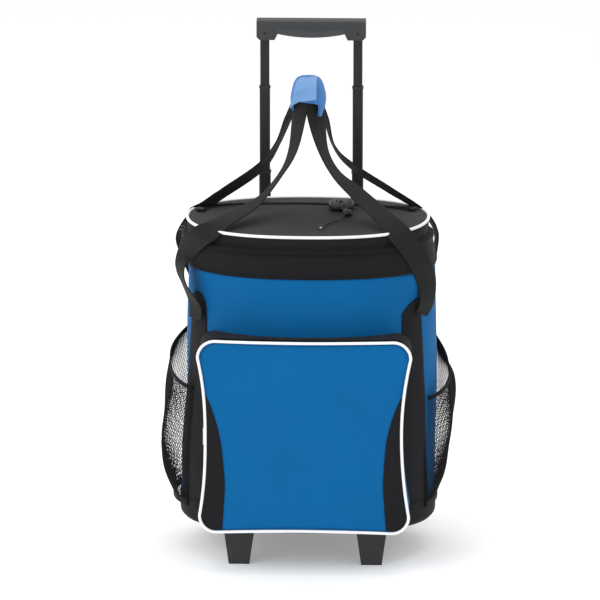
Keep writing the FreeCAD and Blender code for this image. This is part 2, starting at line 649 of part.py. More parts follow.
def wheels():
    """Wheels, axles, end caps and housings."""
    y, z = WHEEL_Y, WHEEL_R
    axle_end = HOUSING_OUT + CAP_T - CAP_COVER
    axle = rod(AXLE_R, (HOUSING_IN, y, z), (axle_end, y, z))
    cap = rod(CAP_R, (HOUSING_OUT, y, z), (HOUSING_OUT + CAP_T, y, z)).cut(axle)
    tyre = rod(WHEEL_R, (WHEEL_IN, y, z), (WHEEL_OUT, y, z))
    tyre = tyre.makeFillet(TYRE_T / 4, [e for e in tyre.Edges if e.Length > WHEEL_R * 6])
    tyre = tyre.cut(rod(WHEEL_R - TYRE_T, (WHEEL_IN, y, z), (WHEEL_OUT, y, z)))
    housing = wheel_housing().cut(axle)
    hub = wheel_hub()
    write("axles", Part.makeCompound(both(axle).Solids + both(cap).Solids))
    for name, sign in SIDES:
        write(f"tyre_{name}", on_side(tyre, sign))
        write(f"hub_{name}", on_side(hub, sign))
    write("wheel_housings", both(housing))


def foot_screw(sign):
    """Screw that holds a front foot, driven down through the base board."""
    x = sign * FOOT_X
    return rod(FOOT_SCREW_R, (x, FOOT_Y, BASE_Z - FOOT_SCREW_IN), (x, FOOT_Y, FLOOR_Z))


def feet():
    """Tapered front feet."""

    def section(size, y, z):
        w, d = size
        corners = [V(FOOT_X + sx * w / 2, y + sy * d / 2, z) for sx, sy in CORNERS]
        return Part.makePolygon(corners + corners[:1])

    ends = [section(FOOT_TIP, FOOT_Y + FOOT_LEAN, 0), section(FOOT_TOP, FOOT_Y, BASE_Z)]
    foot = Part.makeLoft(ends, True, True)
    foot = foot.cut(foot_screw(1))
    write("front_feet", both(foot))


def ribbon(stations):
    """Flat webbing through stations of (centre, width direction)."""
    wires = []
    count = len(stations)
    for i, (centre, width) in enumerate(stations):
        back, ahead = stations[max(i - 1, 0)][0], stations[min(i + 1, count - 1)][0]
        along = (V(*ahead) - V(*back)).normalize()
        across = V(*width)
        across = (across - along * across.dot(along)).normalize()
        up = along.cross(across)
        c = V(*centre)
        corners = [c + across * (sx * STRAP_W / 2) + up * (sy * STRAP_T / 2) for sx, sy in CORNERS]
        wires.append(Part.makePolygon(corners + corners[:1]))
    return Part.makeLoft(wires, True, True)


def strap_loop(side, leg, lane):
    """One carry loop: a leg up each side, joined over the top inside the wrap."""
    surface = plan_half_x(STRAP_ANCHOR_Y, BAG_HALF_W + TRIM_T, BAG_HALF_D + TRIM_T)
    anchor_x, anchor_y = surface + STRAP_ANCHOR_OFF, STRAP_ANCHOR_Y + STRAP_T / 2
    run = plan_run(surface, STRAP_ANCHOR_Y, BAG_HALF_W + TRIM_T, BAG_HALF_D + TRIM_T)
    anchor = ((-anchor_x, side * anchor_y, STRAP_ANCHOR_Z), (run[0], run[1] * side, 0))
    top = WRAP_Z[1] - WRAP_T - STRAP_T / 2 - 2 * GAP
    inside = WRAP_HALF_W - WRAP_T - STRAP_T - GAP
    crown = [
        ((-inside, lane, WRAP_Z[0] + STRAP_TUCK), (0, side, 0)),
        ((-inside, lane, top - inside), (0, side, 0)),
        ((-inside * 0.7, lane, top - inside * 0.3), (0, side, 0)),
        ((0, lane, top), (0, side, 0)),
    ]
    left = [anchor] + leg + crown
    right = [((-c[0], c[1], c[2]), (-w[0], w[1], w[2])) for c, w in reversed(left[:-1])]
    return ribbon(left + right)


def carry_straps():
    """Front and rear webbing loops, the grip wrap and its closing flap.

    The legs lie loose, so their places are chosen. The first ones are measured from the tub's side
    and the others from the lid's top or the wrap's foot, so that they move with them.
    """
    out, over, under = BAG_HALF_W + 8, LID_TOP, WRAP_Z[0]
    front_leg = [
        ((-out, -54, SHELL_TOP), (0.35, -0.94, 0)),
        ((-out + 3, -50, RIM_Z - 6), (0.35, -0.94, 0.1)),
        ((-out + 9, -50, over - 5), (0.3, -0.95, 0.1)),
        ((-out + 27, -46, over + 13), (0.2, -0.95, 0.2)),
        ((-104, -38, over + 27), (0.2, -0.95, 0.2)),
        ((-62, -30, over + 41), (0.1, -0.99, 0)),
        ((-37, -25, over + 69), (0.1, -0.99, 0)),
        ((-22, -22, under - 56), (0.3, -0.95, 0)),
        ((-16, -20, under - 26), (0.3, -0.95, 0)),
    ]
    rear_leg = [
        ((-out, 58, SHELL_TOP + 12), (0.2, 0.97, 0)),
        ((-out + 5, 60, RIM_Z + 6), (0.2, 0.97, 0)),
        ((-out + 19, 60, over + 6), (0.2, 0.97, 0.1)),
        ((-out + 44, 58, over + 17), (0.2, 0.97, 0.1)),
        ((-86, 52, over + 47), (0, 1, 0)),
        ((-54, 40, over + 81), (0, 1, 0)),
        ((-34, 26, under - 38), (0, 1, 0)),
        ((-15, 18, under - 14), (0, 1, 0)),
    ]
    lane = WRAP_HALF_D / 2
    write("front_strap", strap_loop(-1, front_leg, -lane))
    write("rear_strap", strap_loop(1, rear_leg, lane))
    write("grip_wrap", arch(0, WRAP_T, WRAP_HALF_D))
    flap = arch(FLAP_T, FLAP_T, FLAP_HALF_D)
    write("wrap_flap", flap.common(block(-FAR, FLAP_EDGE_X, -FAR, FAR, 0, FAR)))


def arch(outset, wall, half_d):
    """Upside-down U of the wrap, its outside moved outward by outset."""

    def filled(half_w, top, reach):
        body = block(-half_w, half_w, -reach, reach, WRAP_Z[0], top - half_w)
        return body.fuse(rod(half_w, (0, -reach, top - half_w), (0, reach, top - half_w)))

    outer = filled(WRAP_HALF_W + outset, WRAP_Z[1] + outset, half_d)
    inner = filled(WRAP_HALF_W + outset - wall, WRAP_Z[1] + outset - wall, half_d + 1)
    return outer.cut(inner).removeSplitter()


def main():
    """Build and write every node."""
    os.makedirs("parts", exist_ok=True)
    tub()
    lid_pieces()
    lid_pull()
    main_sliders()
    front_pocket()
    pocket_slider()
    side_pockets()
    trolley()
    backing()
    wheels()
    feet()
    carry_straps()


if __name__ == "__main__":
    main()
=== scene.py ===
"""Looks of a rolling soft cooler bag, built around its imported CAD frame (metres, +Z up, -Y front)."""

from __future__ import annotations

import logging
import math
from dataclasses import dataclass
from enum import Enum

import bmesh
import bpy
import numpy as np
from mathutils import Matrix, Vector

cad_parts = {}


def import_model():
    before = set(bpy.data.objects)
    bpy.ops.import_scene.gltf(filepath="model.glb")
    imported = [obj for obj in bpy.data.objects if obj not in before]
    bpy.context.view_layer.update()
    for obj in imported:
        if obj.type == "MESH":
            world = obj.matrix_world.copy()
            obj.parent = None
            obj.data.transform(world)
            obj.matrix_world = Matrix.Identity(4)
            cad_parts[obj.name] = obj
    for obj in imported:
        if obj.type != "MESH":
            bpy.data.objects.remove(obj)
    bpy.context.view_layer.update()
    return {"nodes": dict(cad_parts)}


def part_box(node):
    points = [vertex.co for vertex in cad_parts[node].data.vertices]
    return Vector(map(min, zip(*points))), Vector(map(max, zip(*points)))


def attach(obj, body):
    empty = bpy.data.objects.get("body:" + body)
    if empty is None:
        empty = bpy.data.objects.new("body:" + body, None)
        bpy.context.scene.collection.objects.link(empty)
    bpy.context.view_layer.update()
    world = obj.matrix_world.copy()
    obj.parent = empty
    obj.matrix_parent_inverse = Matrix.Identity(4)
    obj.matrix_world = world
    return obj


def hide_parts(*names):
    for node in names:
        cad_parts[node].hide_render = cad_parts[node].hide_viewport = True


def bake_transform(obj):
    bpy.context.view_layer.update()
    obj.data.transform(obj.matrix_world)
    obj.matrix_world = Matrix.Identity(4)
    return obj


LOG = logging.getLogger("cooler")
Array = np.ndarray
PLAN_POWER = 2.3        # exponent of the near-oval plan of tub and lid
MM = 0.001
UP, REARWARD = np.array([0, 0, 1.0]), np.array([0, 1.0, 0])


class Side(Enum):
    """Left or right of the bag, seen from the front."""

    LEFT = -1
    RIGHT = 1


# ---------------------------------------------------------------- numbers and curves


def ease(x: Array | float, low: float, high: float) -> Array:
    """Smooth step: 0 below low, 1 above high, 3t^2 - 2t^3 between.

    Args:
        x: Values to ease.
        low: Where the step starts.
        high: Where the step ends.

    Returns:
        The eased values.
    """
    t = np.clip((np.asarray(x, float) - low) / (high - low), 0, 1)
    return t * t * (3 - 2 * t)


def even(path: Array, count: int, closed: bool = False) -> Array:
    """Points spaced evenly along a path, by linear interpolation over its running length.

    Args:
        path: Points, one a row.
        count: How many points to return.
        closed: Whether the path joins back to its start.

    Returns:
        The evenly spaced points; a closed path does not repeat its first one.
    """
    path = np.vstack([path, path[:1]]) if closed else path
    run = np.concatenate([[0], np.cumsum(np.linalg.norm(np.diff(path, axis=0), axis=1))])
    at = np.linspace(0, run[-1], count, endpoint=not closed)
    return np.stack([np.interp(at, run, path[:, k]) for k in range(path.shape[1])], 1)


def oval(half_w: float, half_d: float, count: int = 720) -> Array:
    """Closed plan |x/a|^n + |y/b|^n = 1, evenly spaced, starting at the rear and running to +X.

    Args:
        half_w: Half width a.
        half_d: Half depth b.
        count: How many points.

    Returns:
        Points in the plan, one a row.
    """
    t = np.linspace(0, 2 * np.pi, 4 * count, endpoint=False) + 1e-9
    s, c = np.sin(t), np.cos(t)
    x = half_w * np.sign(s) * np.abs(s) ** (2 / PLAN_POWER)
    y = half_d * np.sign(c) * np.abs(c) ** (2 / PLAN_POWER)
    return even(np.stack([x, y], 1), count, closed=True)


def flowing(points: Array, count: int) -> Array:
    """Catmull-Rom curve through the points: each span is the cubic with central-difference tangents.

    Args:
        points: Points to pass through, one a row, of any width.
        count: How many points to return.

    Returns:
        Points along the curve, evenly spread over the spans.
    """
    p = np.vstack([2 * points[0] - points[1], points, 2 * points[-1] - points[-2]])
    t = np.linspace(0, len(points) - 1 - 1e-9, count)
    i = t.astype(int)
    f = (t - i)[:, None]
    a, b, c, d = p[i], p[i + 1], p[i + 2], p[i + 3]
    return 0.5 * (2 * b + (c - a) * f + (2 * a - 5 * b + 4 * c - d) * f**2 + (3 * b - a - 3 * c + d) * f**3)


def unit(v: Array) -> Array:
    """Rows scaled to length one."""
    return v / np.maximum(np.linalg.norm(v, axis=-1, keepdims=True), 1e-12)


def noise(u: Array, v: Array, seed: float = 0.0) -> Array:
    """Soft cloth ripple between about -1 and 1: a sum of four crossed sines of unrelated pitch.

    Args:
        u: First surface coordinate, in metres.
        v: Second surface coordinate, in metres.
        seed: Shifts the pattern, so that pieces differ.

    Returns:
        Ripple heights.
    """
    a = np.sin(31 * u + 11 * v + seed) + 0.7 * np.sin(-17 * u + 43 * v + 2.1 * seed)
    return (a + 0.5 * np.sin(71 * u + 29 * v + 3.3 * seed) + 0.3 * np.sin(13 * u - 97 * v + seed)) / 2.5


# ---------------------------------------------------------------- meshes


def mesh_object(name: str, points: Array, faces: Array, uv: Array | None = None,
                smooth: bool = True) -> bpy.types.Object:
    """Make an object at the origin from arrays.

    Args:
        name: The piece's name.
        points: Vertices, one a row.
        faces: Vertex numbers, one face a row.
        uv: One UV pair for each corner of each face, in metres.
        smooth: Whether faces are shaded smooth.

    Returns:
        The new object.
    """
    mesh = bpy.data.meshes.new(name)
    mesh.from_pydata(points.reshape(-1, 3).tolist(), [], faces.tolist())
    if uv is not None:
        mesh.uv_layers.new(name="UVMap").data.foreach_set("uv", uv.reshape(-1).astype(np.float32))
    mesh.polygons.foreach_set("use_smooth", np.full(len(faces), smooth))
    mesh.update()
    obj = bpy.data.objects.new(name, mesh)
    bpy.context.scene.collection.objects.link(obj)
    return obj


def grid_faces(rows: int, cols: int, wrap_rows: bool, wrap_cols: bool) -> tuple[Array, Array]:
    """Quads of a grid, and the grid corner that each quad corner is.

    Args:
        rows: Points down the grid.
        cols: Points across the grid.
        wrap_rows: Whether the last row joins the first.
        wrap_cols: Whether the last column joins the first.

    Returns:
        Vertex numbers of the quads, and their positions in a grid one larger where it wraps.
    """
    r, c = np.meshgrid(np.arange(rows + wrap_rows), np.arange(cols + wrap_cols), indexing="ij")
    vertex = (r % rows) * cols + (c % cols)
    place = r * (cols + wrap_cols) + c

    def quads(m: Array) -> Array:
        """Four corners of every cell, anticlockwise."""
        return np.stack([m[:-1, :-1], m[:-1, 1:], m[1:, 1:], m[1:, :-1]], -1).reshape(-1, 4)

    return quads(vertex), quads(place)


def sheet_object(name: str, points: Array, uv: Array | None = None, wrap_rows: bool = False,
                 wrap_cols: bool = False, flip: bool = False) -> bpy.types.Object:
    """Make a surface from a grid of points, with a UV map in metres.

    Args:
        name: The piece's name.
        points: Grid of points, rows by columns by 3.
        uv: Grid of UV pairs; left out, they are running lengths down and across the grid.
        wrap_rows: Whether the last row joins the first.
        wrap_cols: Whether the last column joins the first.
        flip: Turns the faces over.

    Returns:
        The new object.
    """
    rows, cols = points.shape[:2]
    faces, place = grid_faces(rows, cols, wrap_rows, wrap_cols)
    if uv is None:
        full = np.concatenate([points, points[:1]]) if wrap_rows else points
        full = np.concatenate([full, full[:, :1]], 1) if wrap_cols else full
        across = np.cumsum(np.linalg.norm(np.diff(full, axis=1, prepend=full[:, :1]), axis=2), 1)
        down = np.cumsum(np.linalg.norm(np.diff(full, axis=0, prepend=full[:1]), axis=2), 0)
        uv = np.stack([across, down], -1)
    if flip:
        faces, place = faces[:, ::-1], place[:, ::-1]
    return mesh_object(name, points, faces, uv.reshape(-1, 2)[place])


def swept(name: str, path: Array, section: Array, across: Array, closed: bool = False) -> bpy.types.Object:
    """Carry a closed section along a path; the section's axes are across and (path direction x across).

    Args:
        name: The piece's name.
        path: Points of the path.
        section: Closed outline as (across, out) pairs, anticlockwise.
        across: Direction of the section's first axis, one a path point or one for all.
        closed: Whether the path joins back to its start.

    Returns:
        The new object, with capped ends where the path is open.
    """
    along = np.roll(path, -1, 0) - np.roll(path, 1, 0) if closed else np.gradient(path, axis=0)
    along = unit(along)
    across = unit(across - along * (across * along).sum(1, keepdims=True))
    out = np.cross(along, across)
    grid = path[:, None] + across[:, None] * section[None, :, :1] + out[:, None] * section[None, :, 1:]
    obj = sheet_object(name, grid, wrap_rows=closed, wrap_cols=True)
    if not closed:
        close_rings(obj, len(section), 0, (len(path) - 1) * len(section))
    return obj


def close_rings(obj: bpy.types.Object, count: int, *firsts: int, smooth: bool = False) -> None:
    """Close rings of vertices with one face each.

    Args:
        obj: The object.
        count: Vertices in each ring.
        firsts: Each ring's first vertex.
        smooth: Whether the new faces are shaded smooth.
    """
    bm = bmesh.new()
    bm.from_mesh(obj.data)
    bm.verts.ensure_lookup_table()
    for first in firsts:
        bm.faces.new([bm.verts[first + i] for i in range(count)]).smooth = smooth
    bmesh.ops.recalc_face_normals(bm, faces=bm.faces)
    bm.to_mesh(obj.data)
    bm.free()


def round_section(radius: float, sides: int = 12) -> Array:
    """Circle as a closed section."""
    t = np.linspace(0, 2 * np.pi, sides, endpoint=False)
    return radius * np.stack([np.cos(t), np.sin(t)], 1)


def flat_section(width: float, thick: float, sides: int = 20) -> Array:
    """Flat bar with rounded edges: a superellipse of power 6 across and 2 at the edges.

    Args:
        width: Full width.
        thick: Full thickness.
        sides: Points round it.

    Returns:
        The closed section.
    """
    t = np.linspace(0, 2 * np.pi, sides, endpoint=False)
    c, s = np.cos(t), np.sin(t)
    return np.stack([np.sign(c) * np.abs(c) ** 0.35 * width / 2, np.sign(s) * np.abs(s) ** 0.35 * thick / 2],
                    1)


def thicken(obj: bpy.types.Object, thick: float, offset: float = -1.0) -> bpy.types.Object:
    """Give a surface a wall with the Solidify modifier.

    Args:
        obj: The surface.
        thick: Wall thickness.
        offset: -1 puts the wall inside, 1 outside.

    Returns:
        The same object.
    """
    mod = obj.modifiers.new("wall", "SOLIDIFY")
    mod.thickness, mod.offset, mod.use_even_offset = thick, offset, True
    return obj


def soften(obj: bpy.types.Object, width: float, segments: int = 3, angle: float = 0.6) -> bpy.types.Object:
    """Round an object's sharp edges with the Bevel modifier.

    Args:
        obj: The object.
        width: Bevel width.
        segments: Bevel segments.
        angle: Smallest edge angle that is rounded.

    Returns:
        The same object.
    """
    mod = obj.modifiers.new("edge", "BEVEL")
    mod.width, mod.segments, mod.limit_method, mod.angle_limit = width, segments, "ANGLE", angle
    mod.harden_normals = False
    return obj


def joined(name: str, parts: list[bpy.types.Object]) -> bpy.types.Object:
    """Join several objects' meshes into one piece.

    Args:
        name: The piece's name.
        parts: Objects at the origin, without live modifiers.

    Returns:
        The first object, holding everything.
    """
    with bpy.context.temp_override(active_object=parts[0], selected_editable_objects=parts):
        bpy.ops.object.join()
    parts[0].name = name
    return parts[0]


def box_points(size: Array, centre: Array) -> Array:
    """Eight corners of an upright box."""
    signs = np.array([[x, y, z] for z in (-1, 1) for y in (-1, 1) for x in (-1, 1)], float)
    return centre + signs * size / 2


BOX_FACES = np.array([[0, 2, 3, 1], [4, 5, 7, 6], [0, 1, 5, 4], [2, 6, 7, 3], [0, 4, 6, 2], [1, 3, 7, 5]])


def many_boxes(name: str, centres: Array, along: Array, across: Array,
               size: tuple[float, float, float]) -> bpy.types.Object:
    """Equal small boxes, each turned to its own directions, as zip teeth and stitches are.

    Args:
        name: The piece's name.
        centres: Box centres, one a row.
        along: Each box's first direction.
        across: Each box's second direction, or one for all.
        size: Lengths along, across and outward.

    Returns:
        One object with every box.
    """
    along = unit(along)
    across = np.broadcast_to(unit(across), along.shape)
    out = np.cross(along, across)
    axes = np.stack([along * size[0], across * size[1], out * size[2]], 1)
    unit_box = box_points(np.ones(3), np.zeros(3))
    points = centres[:, None] + np.einsum("ck,nkd->ncd", unit_box, axes)
    faces = (np.arange(len(centres))[:, None, None] * 8 + BOX_FACES[None]).reshape(-1, 4)
    return mesh_object(name, points, faces, smooth=False)


def place(obj: bpy.types.Object, body: str, finish: bpy.types.Material, slot: str,
          *nodes: str) -> bpy.types.Object:
    """Dress a piece, put it on its body and hide the CAD nodes that it stands for.

    Args:
        obj: The piece.
        body: CAD body that it moves with.
        finish: Its material.
        slot: Name of its material slot, which is only logged.
        nodes: CAD nodes that it replaces.

    Returns:
        The same object.
    """
    dress(obj, finish, slot, *nodes)
    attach(obj, body)
    return obj


def dress(obj: bpy.types.Object, finish: bpy.types.Material, slot: str, *nodes: str) -> bpy.types.Object:
    """Give a piece its material, log its slot name and hide the CAD nodes that it replaces.

    Args:
        obj: The piece.
        finish: Its material.
        slot: Name of its material slot, which is only logged.
        nodes: CAD nodes that it replaces.

    Returns:
        The same object.
    """
    obj.data.materials.clear()
    obj.data.materials.append(finish)
    if nodes:
        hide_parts(*nodes)
    LOG.info("piece %s, slot %s", obj.name, slot)
    return obj


def span(node: str) -> tuple[Array, Array]:
    """Lowest and highest corner of a CAD node, as arrays."""
    low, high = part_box(node)
    return np.array(low), np.array(high)


# ---------------------------------------------------------------- shader groups


class Wiring:
    """Adds nodes to a tree in few words."""

    def __init__(self, tree: bpy.types.NodeTree) -> None:
        """Keep the tree."""
        self.tree = tree

    def node(self, kind: str, values: dict[str, object] | None = None, **settings: object) -> bpy.types.Node:
        """Add one node.

        Args:
            kind: Blender's node type.
            values: Socket name to a number, a colour or another node's socket.
            settings: Node settings.

        Returns:
            The new node.
        """
        made = self.tree.nodes.new(kind)
        for key, value in settings.items():
            setattr(made, key, value)
        self.feed(made, values or {})
        return made

    def feed(self, node: bpy.types.Node, values: dict[object, object]) -> None:
        """Link a node's inputs, by name or number, to other sockets, or set their own values."""
        for key, value in values.items():
            if isinstance(value, bpy.types.NodeSocket):
                self.tree.links.new(value, node.inputs[key])
            else:
                node.inputs[key].default_value = value

    def maths(self, operation: str, a: object, b: object = 0.0) -> bpy.types.NodeSocket:
        """Add one Math node and return its result."""
        return self.node("ShaderNodeMath", {0: a, 1: b}, operation=operation).outputs[0]

    def here(self) -> bpy.types.NodeSocket:
        """The place on the piece, in its own space."""
        return self.node("ShaderNodeTexCoord").outputs["Object"]

    def mottled(self, tree: bpy.types.NodeTree, scale: float, amount: float) -> bpy.types.NodeSocket:
        """The mottle group's factor over the piece."""
        values = {"Vector": self.here(), "Scale": scale, "Amount": amount}
        return self.node("ShaderNodeGroup", values, node_tree=tree).outputs[0]


def group(name: str, inputs: dict[str, object], outputs: list[str]) -> tuple[Wiring, bpy.types.Node,
                                                                             bpy.types.Node]:
    """Start a shader node group with named sockets.

    Args:
        name: The group's name.
        inputs: Input name to its default; a tuple makes a vector.
        outputs: Names of the value outputs.

    Returns:
        Wiring for the group, its input node and its output node.
    """
    tree = bpy.data.node_groups.new(name, "ShaderNodeTree")
    for key, value in inputs.items():
        kind = "NodeSocketVector" if isinstance(value, tuple) else "NodeSocketFloat"
        socket = tree.interface.new_socket(key, in_out="INPUT", socket_type=kind)
        socket.default_value = value
    for key in outputs:
        tree.interface.new_socket(key, in_out="OUTPUT", socket_type="NodeSocketFloat")
    wiring = Wiring(tree)
    return wiring, wiring.node("NodeGroupInput"), wiring.node("NodeGroupOutput")


def weave_group() -> bpy.types.NodeTree:
    """Plain weave: warp and weft each a row of rounded threads, |sin|, the upper one set by a checker."""
    w, source, sink = group("plain_weave", {"Vector": (0.0, 0.0, 0.0), "Threads": 900.0}, ["Height", "Gap"])
    values = {0: source.outputs["Vector"], "Scale": source.outputs["Threads"]}
    scaled = w.node("ShaderNodeVectorMath", values, operation="SCALE")
    parts = w.node("ShaderNodeSeparateXYZ", {0: scaled.outputs[0]})
    across = w.maths("SINE", w.maths("MULTIPLY", parts.outputs[0], math.pi))
    along = w.maths("SINE", w.maths("MULTIPLY", parts.outputs[1], math.pi))
    warp, weft = w.maths("ABSOLUTE", across), w.maths("ABSOLUTE", along)
    over = w.maths("GREATER_THAN", w.maths("MULTIPLY", across, along), 0.0)
    under = w.maths("SUBTRACT", 1.0, over)
    height = w.maths("ADD", w.maths("MULTIPLY", warp, over), w.maths("MULTIPLY", weft, under))
    # Gap is low between the threads and high on their tops; the cloth uses it for painted shade
    gap = w.maths("POWER", w.maths("MULTIPLY", warp, weft), 0.5)
    w.feed(sink, {"Height": height, "Gap": gap})
    return w.tree


def rib_group() -> bpy.types.NodeTree:
    """Webbing: ribs across the strap, each broken into slanted yarns by a herringbone along its width."""
    w, source, sink = group("webbing_ribs", {"Vector": (0.0, 0.0, 0.0), "Ribs": 600.0}, ["Height"])
    parts = w.node("ShaderNodeSeparateXYZ", {0: source.outputs["Vector"]})
    u = w.maths("MULTIPLY", parts.outputs[0], source.outputs["Ribs"])
    v = w.maths("MULTIPLY", parts.outputs[1], source.outputs["Ribs"])
    zigzag = w.maths("PINGPONG", u, 3.0)
    rib = w.maths("ABSOLUTE", w.maths("SINE", w.maths("MULTIPLY", w.maths("ADD", v, zigzag), 1.6)))
    yarn = w.maths("ABSOLUTE", w.maths("SINE", w.maths("MULTIPLY", u, math.pi)))
    w.feed(sink, {"Height": w.maths("ADD", rib, w.maths("MULTIPLY", yarn, 0.5))})
    return w.tree


def mottle_group() -> bpy.types.NodeTree:
    """Uneven colour: two scales of noise, centred on 1, so that it multiplies a shade."""
    w, source, sink = group("mottle", {"Vector": (0.0, 0.0, 0.0), "Scale": 20.0, "Amount": 0.1}, ["Factor"])
    vector, scale = source.outputs["Vector"], source.outputs["Scale"]
    wide = w.node("ShaderNodeTexNoise", {"Vector": vector, "Scale": scale, "Detail": 3.0})
    fine_scale = w.maths("MULTIPLY", scale, 9.0)
    fine = w.node("ShaderNodeTexNoise", {"Vector": vector, "Scale": fine_scale, "Detail": 2.0})
    both = w.maths("ADD", w.maths("MULTIPLY", wide.outputs[0], 1.4),
                   w.maths("MULTIPLY", fine.outputs[0], 0.6))
    swing = w.maths("MULTIPLY", w.maths("SUBTRACT", both, 1.0), source.outputs["Amount"])
    w.feed(sink, {"Factor": w.maths("ADD", swing, 1.0)})
    return w.tree


# ---------------------------------------------------------------- finishes

Colour = tuple[float, float, float]


def painted(name: str) -> tuple[bpy.types.Material, Wiring, bpy.types.Node]:
    """Start a material: its wiring and its Principled shader.

    Args:
        name: The material's name.

    Returns:
        The material, wiring for its tree and its shader node.
    """
    made = bpy.data.materials.new(name)
    made.use_nodes = True
    shader = made.node_tree.nodes["Principled BSDF"]
    return made, Wiring(made.node_tree), shader


def shaded(w: Wiring, shader: bpy.types.Node, colour: Colour, factor: bpy.types.NodeSocket) -> None:
    """Feed Base Color with a colour multiplied by a varying factor.

    Args:
        w: The material's wiring.
        shader: Its Principled shader.
        colour: Linear base colour.
        factor: Multiplier that varies over the surface.
    """
    grey = w.node("ShaderNodeCombineColor", {0: factor, 1: factor, 2: factor})
    whole, first, second, result = 0, 6, 7, 2       # the Mix node's sockets for colours go by number
    values = {whole: 1.0, first: (*colour, 1.0), second: grey.outputs[0]}
    mix = w.node("ShaderNodeMix", values, data_type="RGBA", blend_type="MULTIPLY")
    w.feed(shader, {"Base Color": mix.outputs[result]})


def bumped(w: Wiring, shader: bpy.types.Node, height: bpy.types.NodeSocket, depth: float) -> None:
    """Feed Normal with a bump of the given depth in metres."""
    bump = w.node("ShaderNodeBump", {"Height": height, "Strength": 1.0, "Distance": depth})
    w.feed(shader, {"Normal": bump.outputs[0]})


@dataclass(frozen=True)
class Cloth:
    """Woven polyester: thread relief, painted shade between the threads, uneven dye and a soft sheen."""

    name: str
    colour: Colour
    threads: float = 1100.0
    depth: float = 0.00012
    rough: float = 0.72
    sheen: float = 0.04
    mottle: float = 0.12

    def made(self, groups: dict[str, bpy.types.NodeTree]) -> bpy.types.Material:
        """Build the material."""
        material, w, shader = painted(self.name)
        uv = w.node("ShaderNodeUVMap", uv_map="UVMap").outputs[0]
        weave = w.node("ShaderNodeGroup", {"Vector": uv, "Threads": self.threads}, node_tree=groups["weave"])
        mottle = w.mottled(groups["mottle"], 14.0, self.mottle)
        # painted shade: the colour is darker in the gaps between threads and lighter on their tops
        gap = w.maths("ADD", w.maths("MULTIPLY", weave.outputs["Gap"], 0.3), 0.78)
        shaded(w, shader, self.colour, w.maths("MULTIPLY", gap, mottle))
        bumped(w, shader, weave.outputs["Height"], self.depth)
        rough = w.maths("MULTIPLY", mottle, self.rough)
        w.feed(shader, {"Roughness": rough, "Sheen Weight": self.sheen, "Sheen Roughness": 0.4,
                        "Specular IOR Level": 0.12})
        return material


@dataclass(frozen=True)
class Webbing:
    """Ribbed strap webbing, its colour darker in the grooves between ribs as painted shade."""

    name: str
    colour: Colour
    ribs: float = 620.0
    depth: float = 0.00035

    def made(self, groups: dict[str, bpy.types.NodeTree]) -> bpy.types.Material:
        """Build the material."""
        material, w, shader = painted(self.name)
        uv = w.node("ShaderNodeUVMap", uv_map="UVMap").outputs[0]
        ribs = w.node("ShaderNodeGroup", {"Vector": uv, "Ribs": self.ribs}, node_tree=groups["ribs"])
        # painted shade: the colour is darker in the grooves between ribs and lighter on their crests
        rib_shade = w.maths("ADD", w.maths("MULTIPLY", ribs.outputs[0], 0.25), 0.8)
        shaded(w, shader, self.colour, w.maths("MULTIPLY", rib_shade, w.mottled(groups["mottle"], 30.0, 0.25)))
        bumped(w, shader, ribs.outputs[0], self.depth)
        w.feed(shader, {"Roughness": 0.75, "Sheen Weight": 0.05, "Specular IOR Level": 0.15})
        return material


@dataclass(frozen=True)
class Moulded:
    """Moulded plastic or rubber: fine spark texture and uneven gloss."""

    name: str
    colour: Colour
    rough: float = 0.5
    grain: float = 1500.0
    depth: float = 0.00004

    def made(self, groups: dict[str, bpy.types.NodeTree]) -> bpy.types.Material:
        """Build the material."""
        material, w, shader = painted(self.name)
        mottle = w.mottled(groups["mottle"], 22.0, 0.22)
        grain = w.node("ShaderNodeTexNoise", {"Vector": w.here(), "Scale": self.grain, "Detail": 2.0})
        shaded(w, shader, self.colour, mottle)
        bumped(w, shader, grain.outputs[0], self.depth)
        w.feed(shader, {"Roughness": w.maths("MULTIPLY", mottle, self.rough)})
        return material


@dataclass(frozen=True)
class Brushed:
    """Metal with streaks drawn along one axis."""

    name: str
    colour: Colour
    rough: float = 0.35
    metallic: float = 1.0
    stretch: tuple[float, float, float] = (900.0, 900.0, 12.0)

    def made(self, groups: dict[str, bpy.types.NodeTree]) -> bpy.types.Material:
        """Build the material."""
        material, w, shader = painted(self.name)
        mapped = w.node("ShaderNodeMapping", {"Vector": w.here(), "Scale": self.stretch})
        streak = w.node("ShaderNodeTexNoise", {"Vector": mapped.outputs[0], "Scale": 1.0, "Detail": 4.0})
        shaded(w, shader, self.colour, w.mottled(groups["mottle"], 40.0, 0.2))
        uneven = w.maths("ADD", w.maths("MULTIPLY", streak.outputs[0], 0.3), self.rough - 0.15)
        bumped(w, shader, streak.outputs[0], 0.00002)
        w.feed(shader, {"Roughness": uneven, "Metallic": self.metallic})
        return material


@dataclass(frozen=True)
class Film:
    """Wrinkled silvery liner film or smooth piping vinyl."""

    name: str
    colour: Colour
    rough: float = 0.35
    wrinkle: float = 60.0
    depth: float = 0.0008
    metallic: float = 0.0

    def made(self, groups: dict[str, bpy.types.NodeTree]) -> bpy.types.Material:
        """Build the material."""
        material, w, shader = painted(self.name)
        values = {"Vector": w.here(), "Scale": self.wrinkle, "Detail": 4.0, "Distortion": 1.2}
        crease = w.node("ShaderNodeTexNoise", values)
        mottle = w.mottled(groups["mottle"], 25.0, 0.06)
        shaded(w, shader, self.colour, mottle)
        bumped(w, shader, crease.outputs[0], self.depth)
        w.feed(shader, {"Roughness": w.maths("MULTIPLY", mottle, self.rough), "Metallic": self.metallic})
        return material


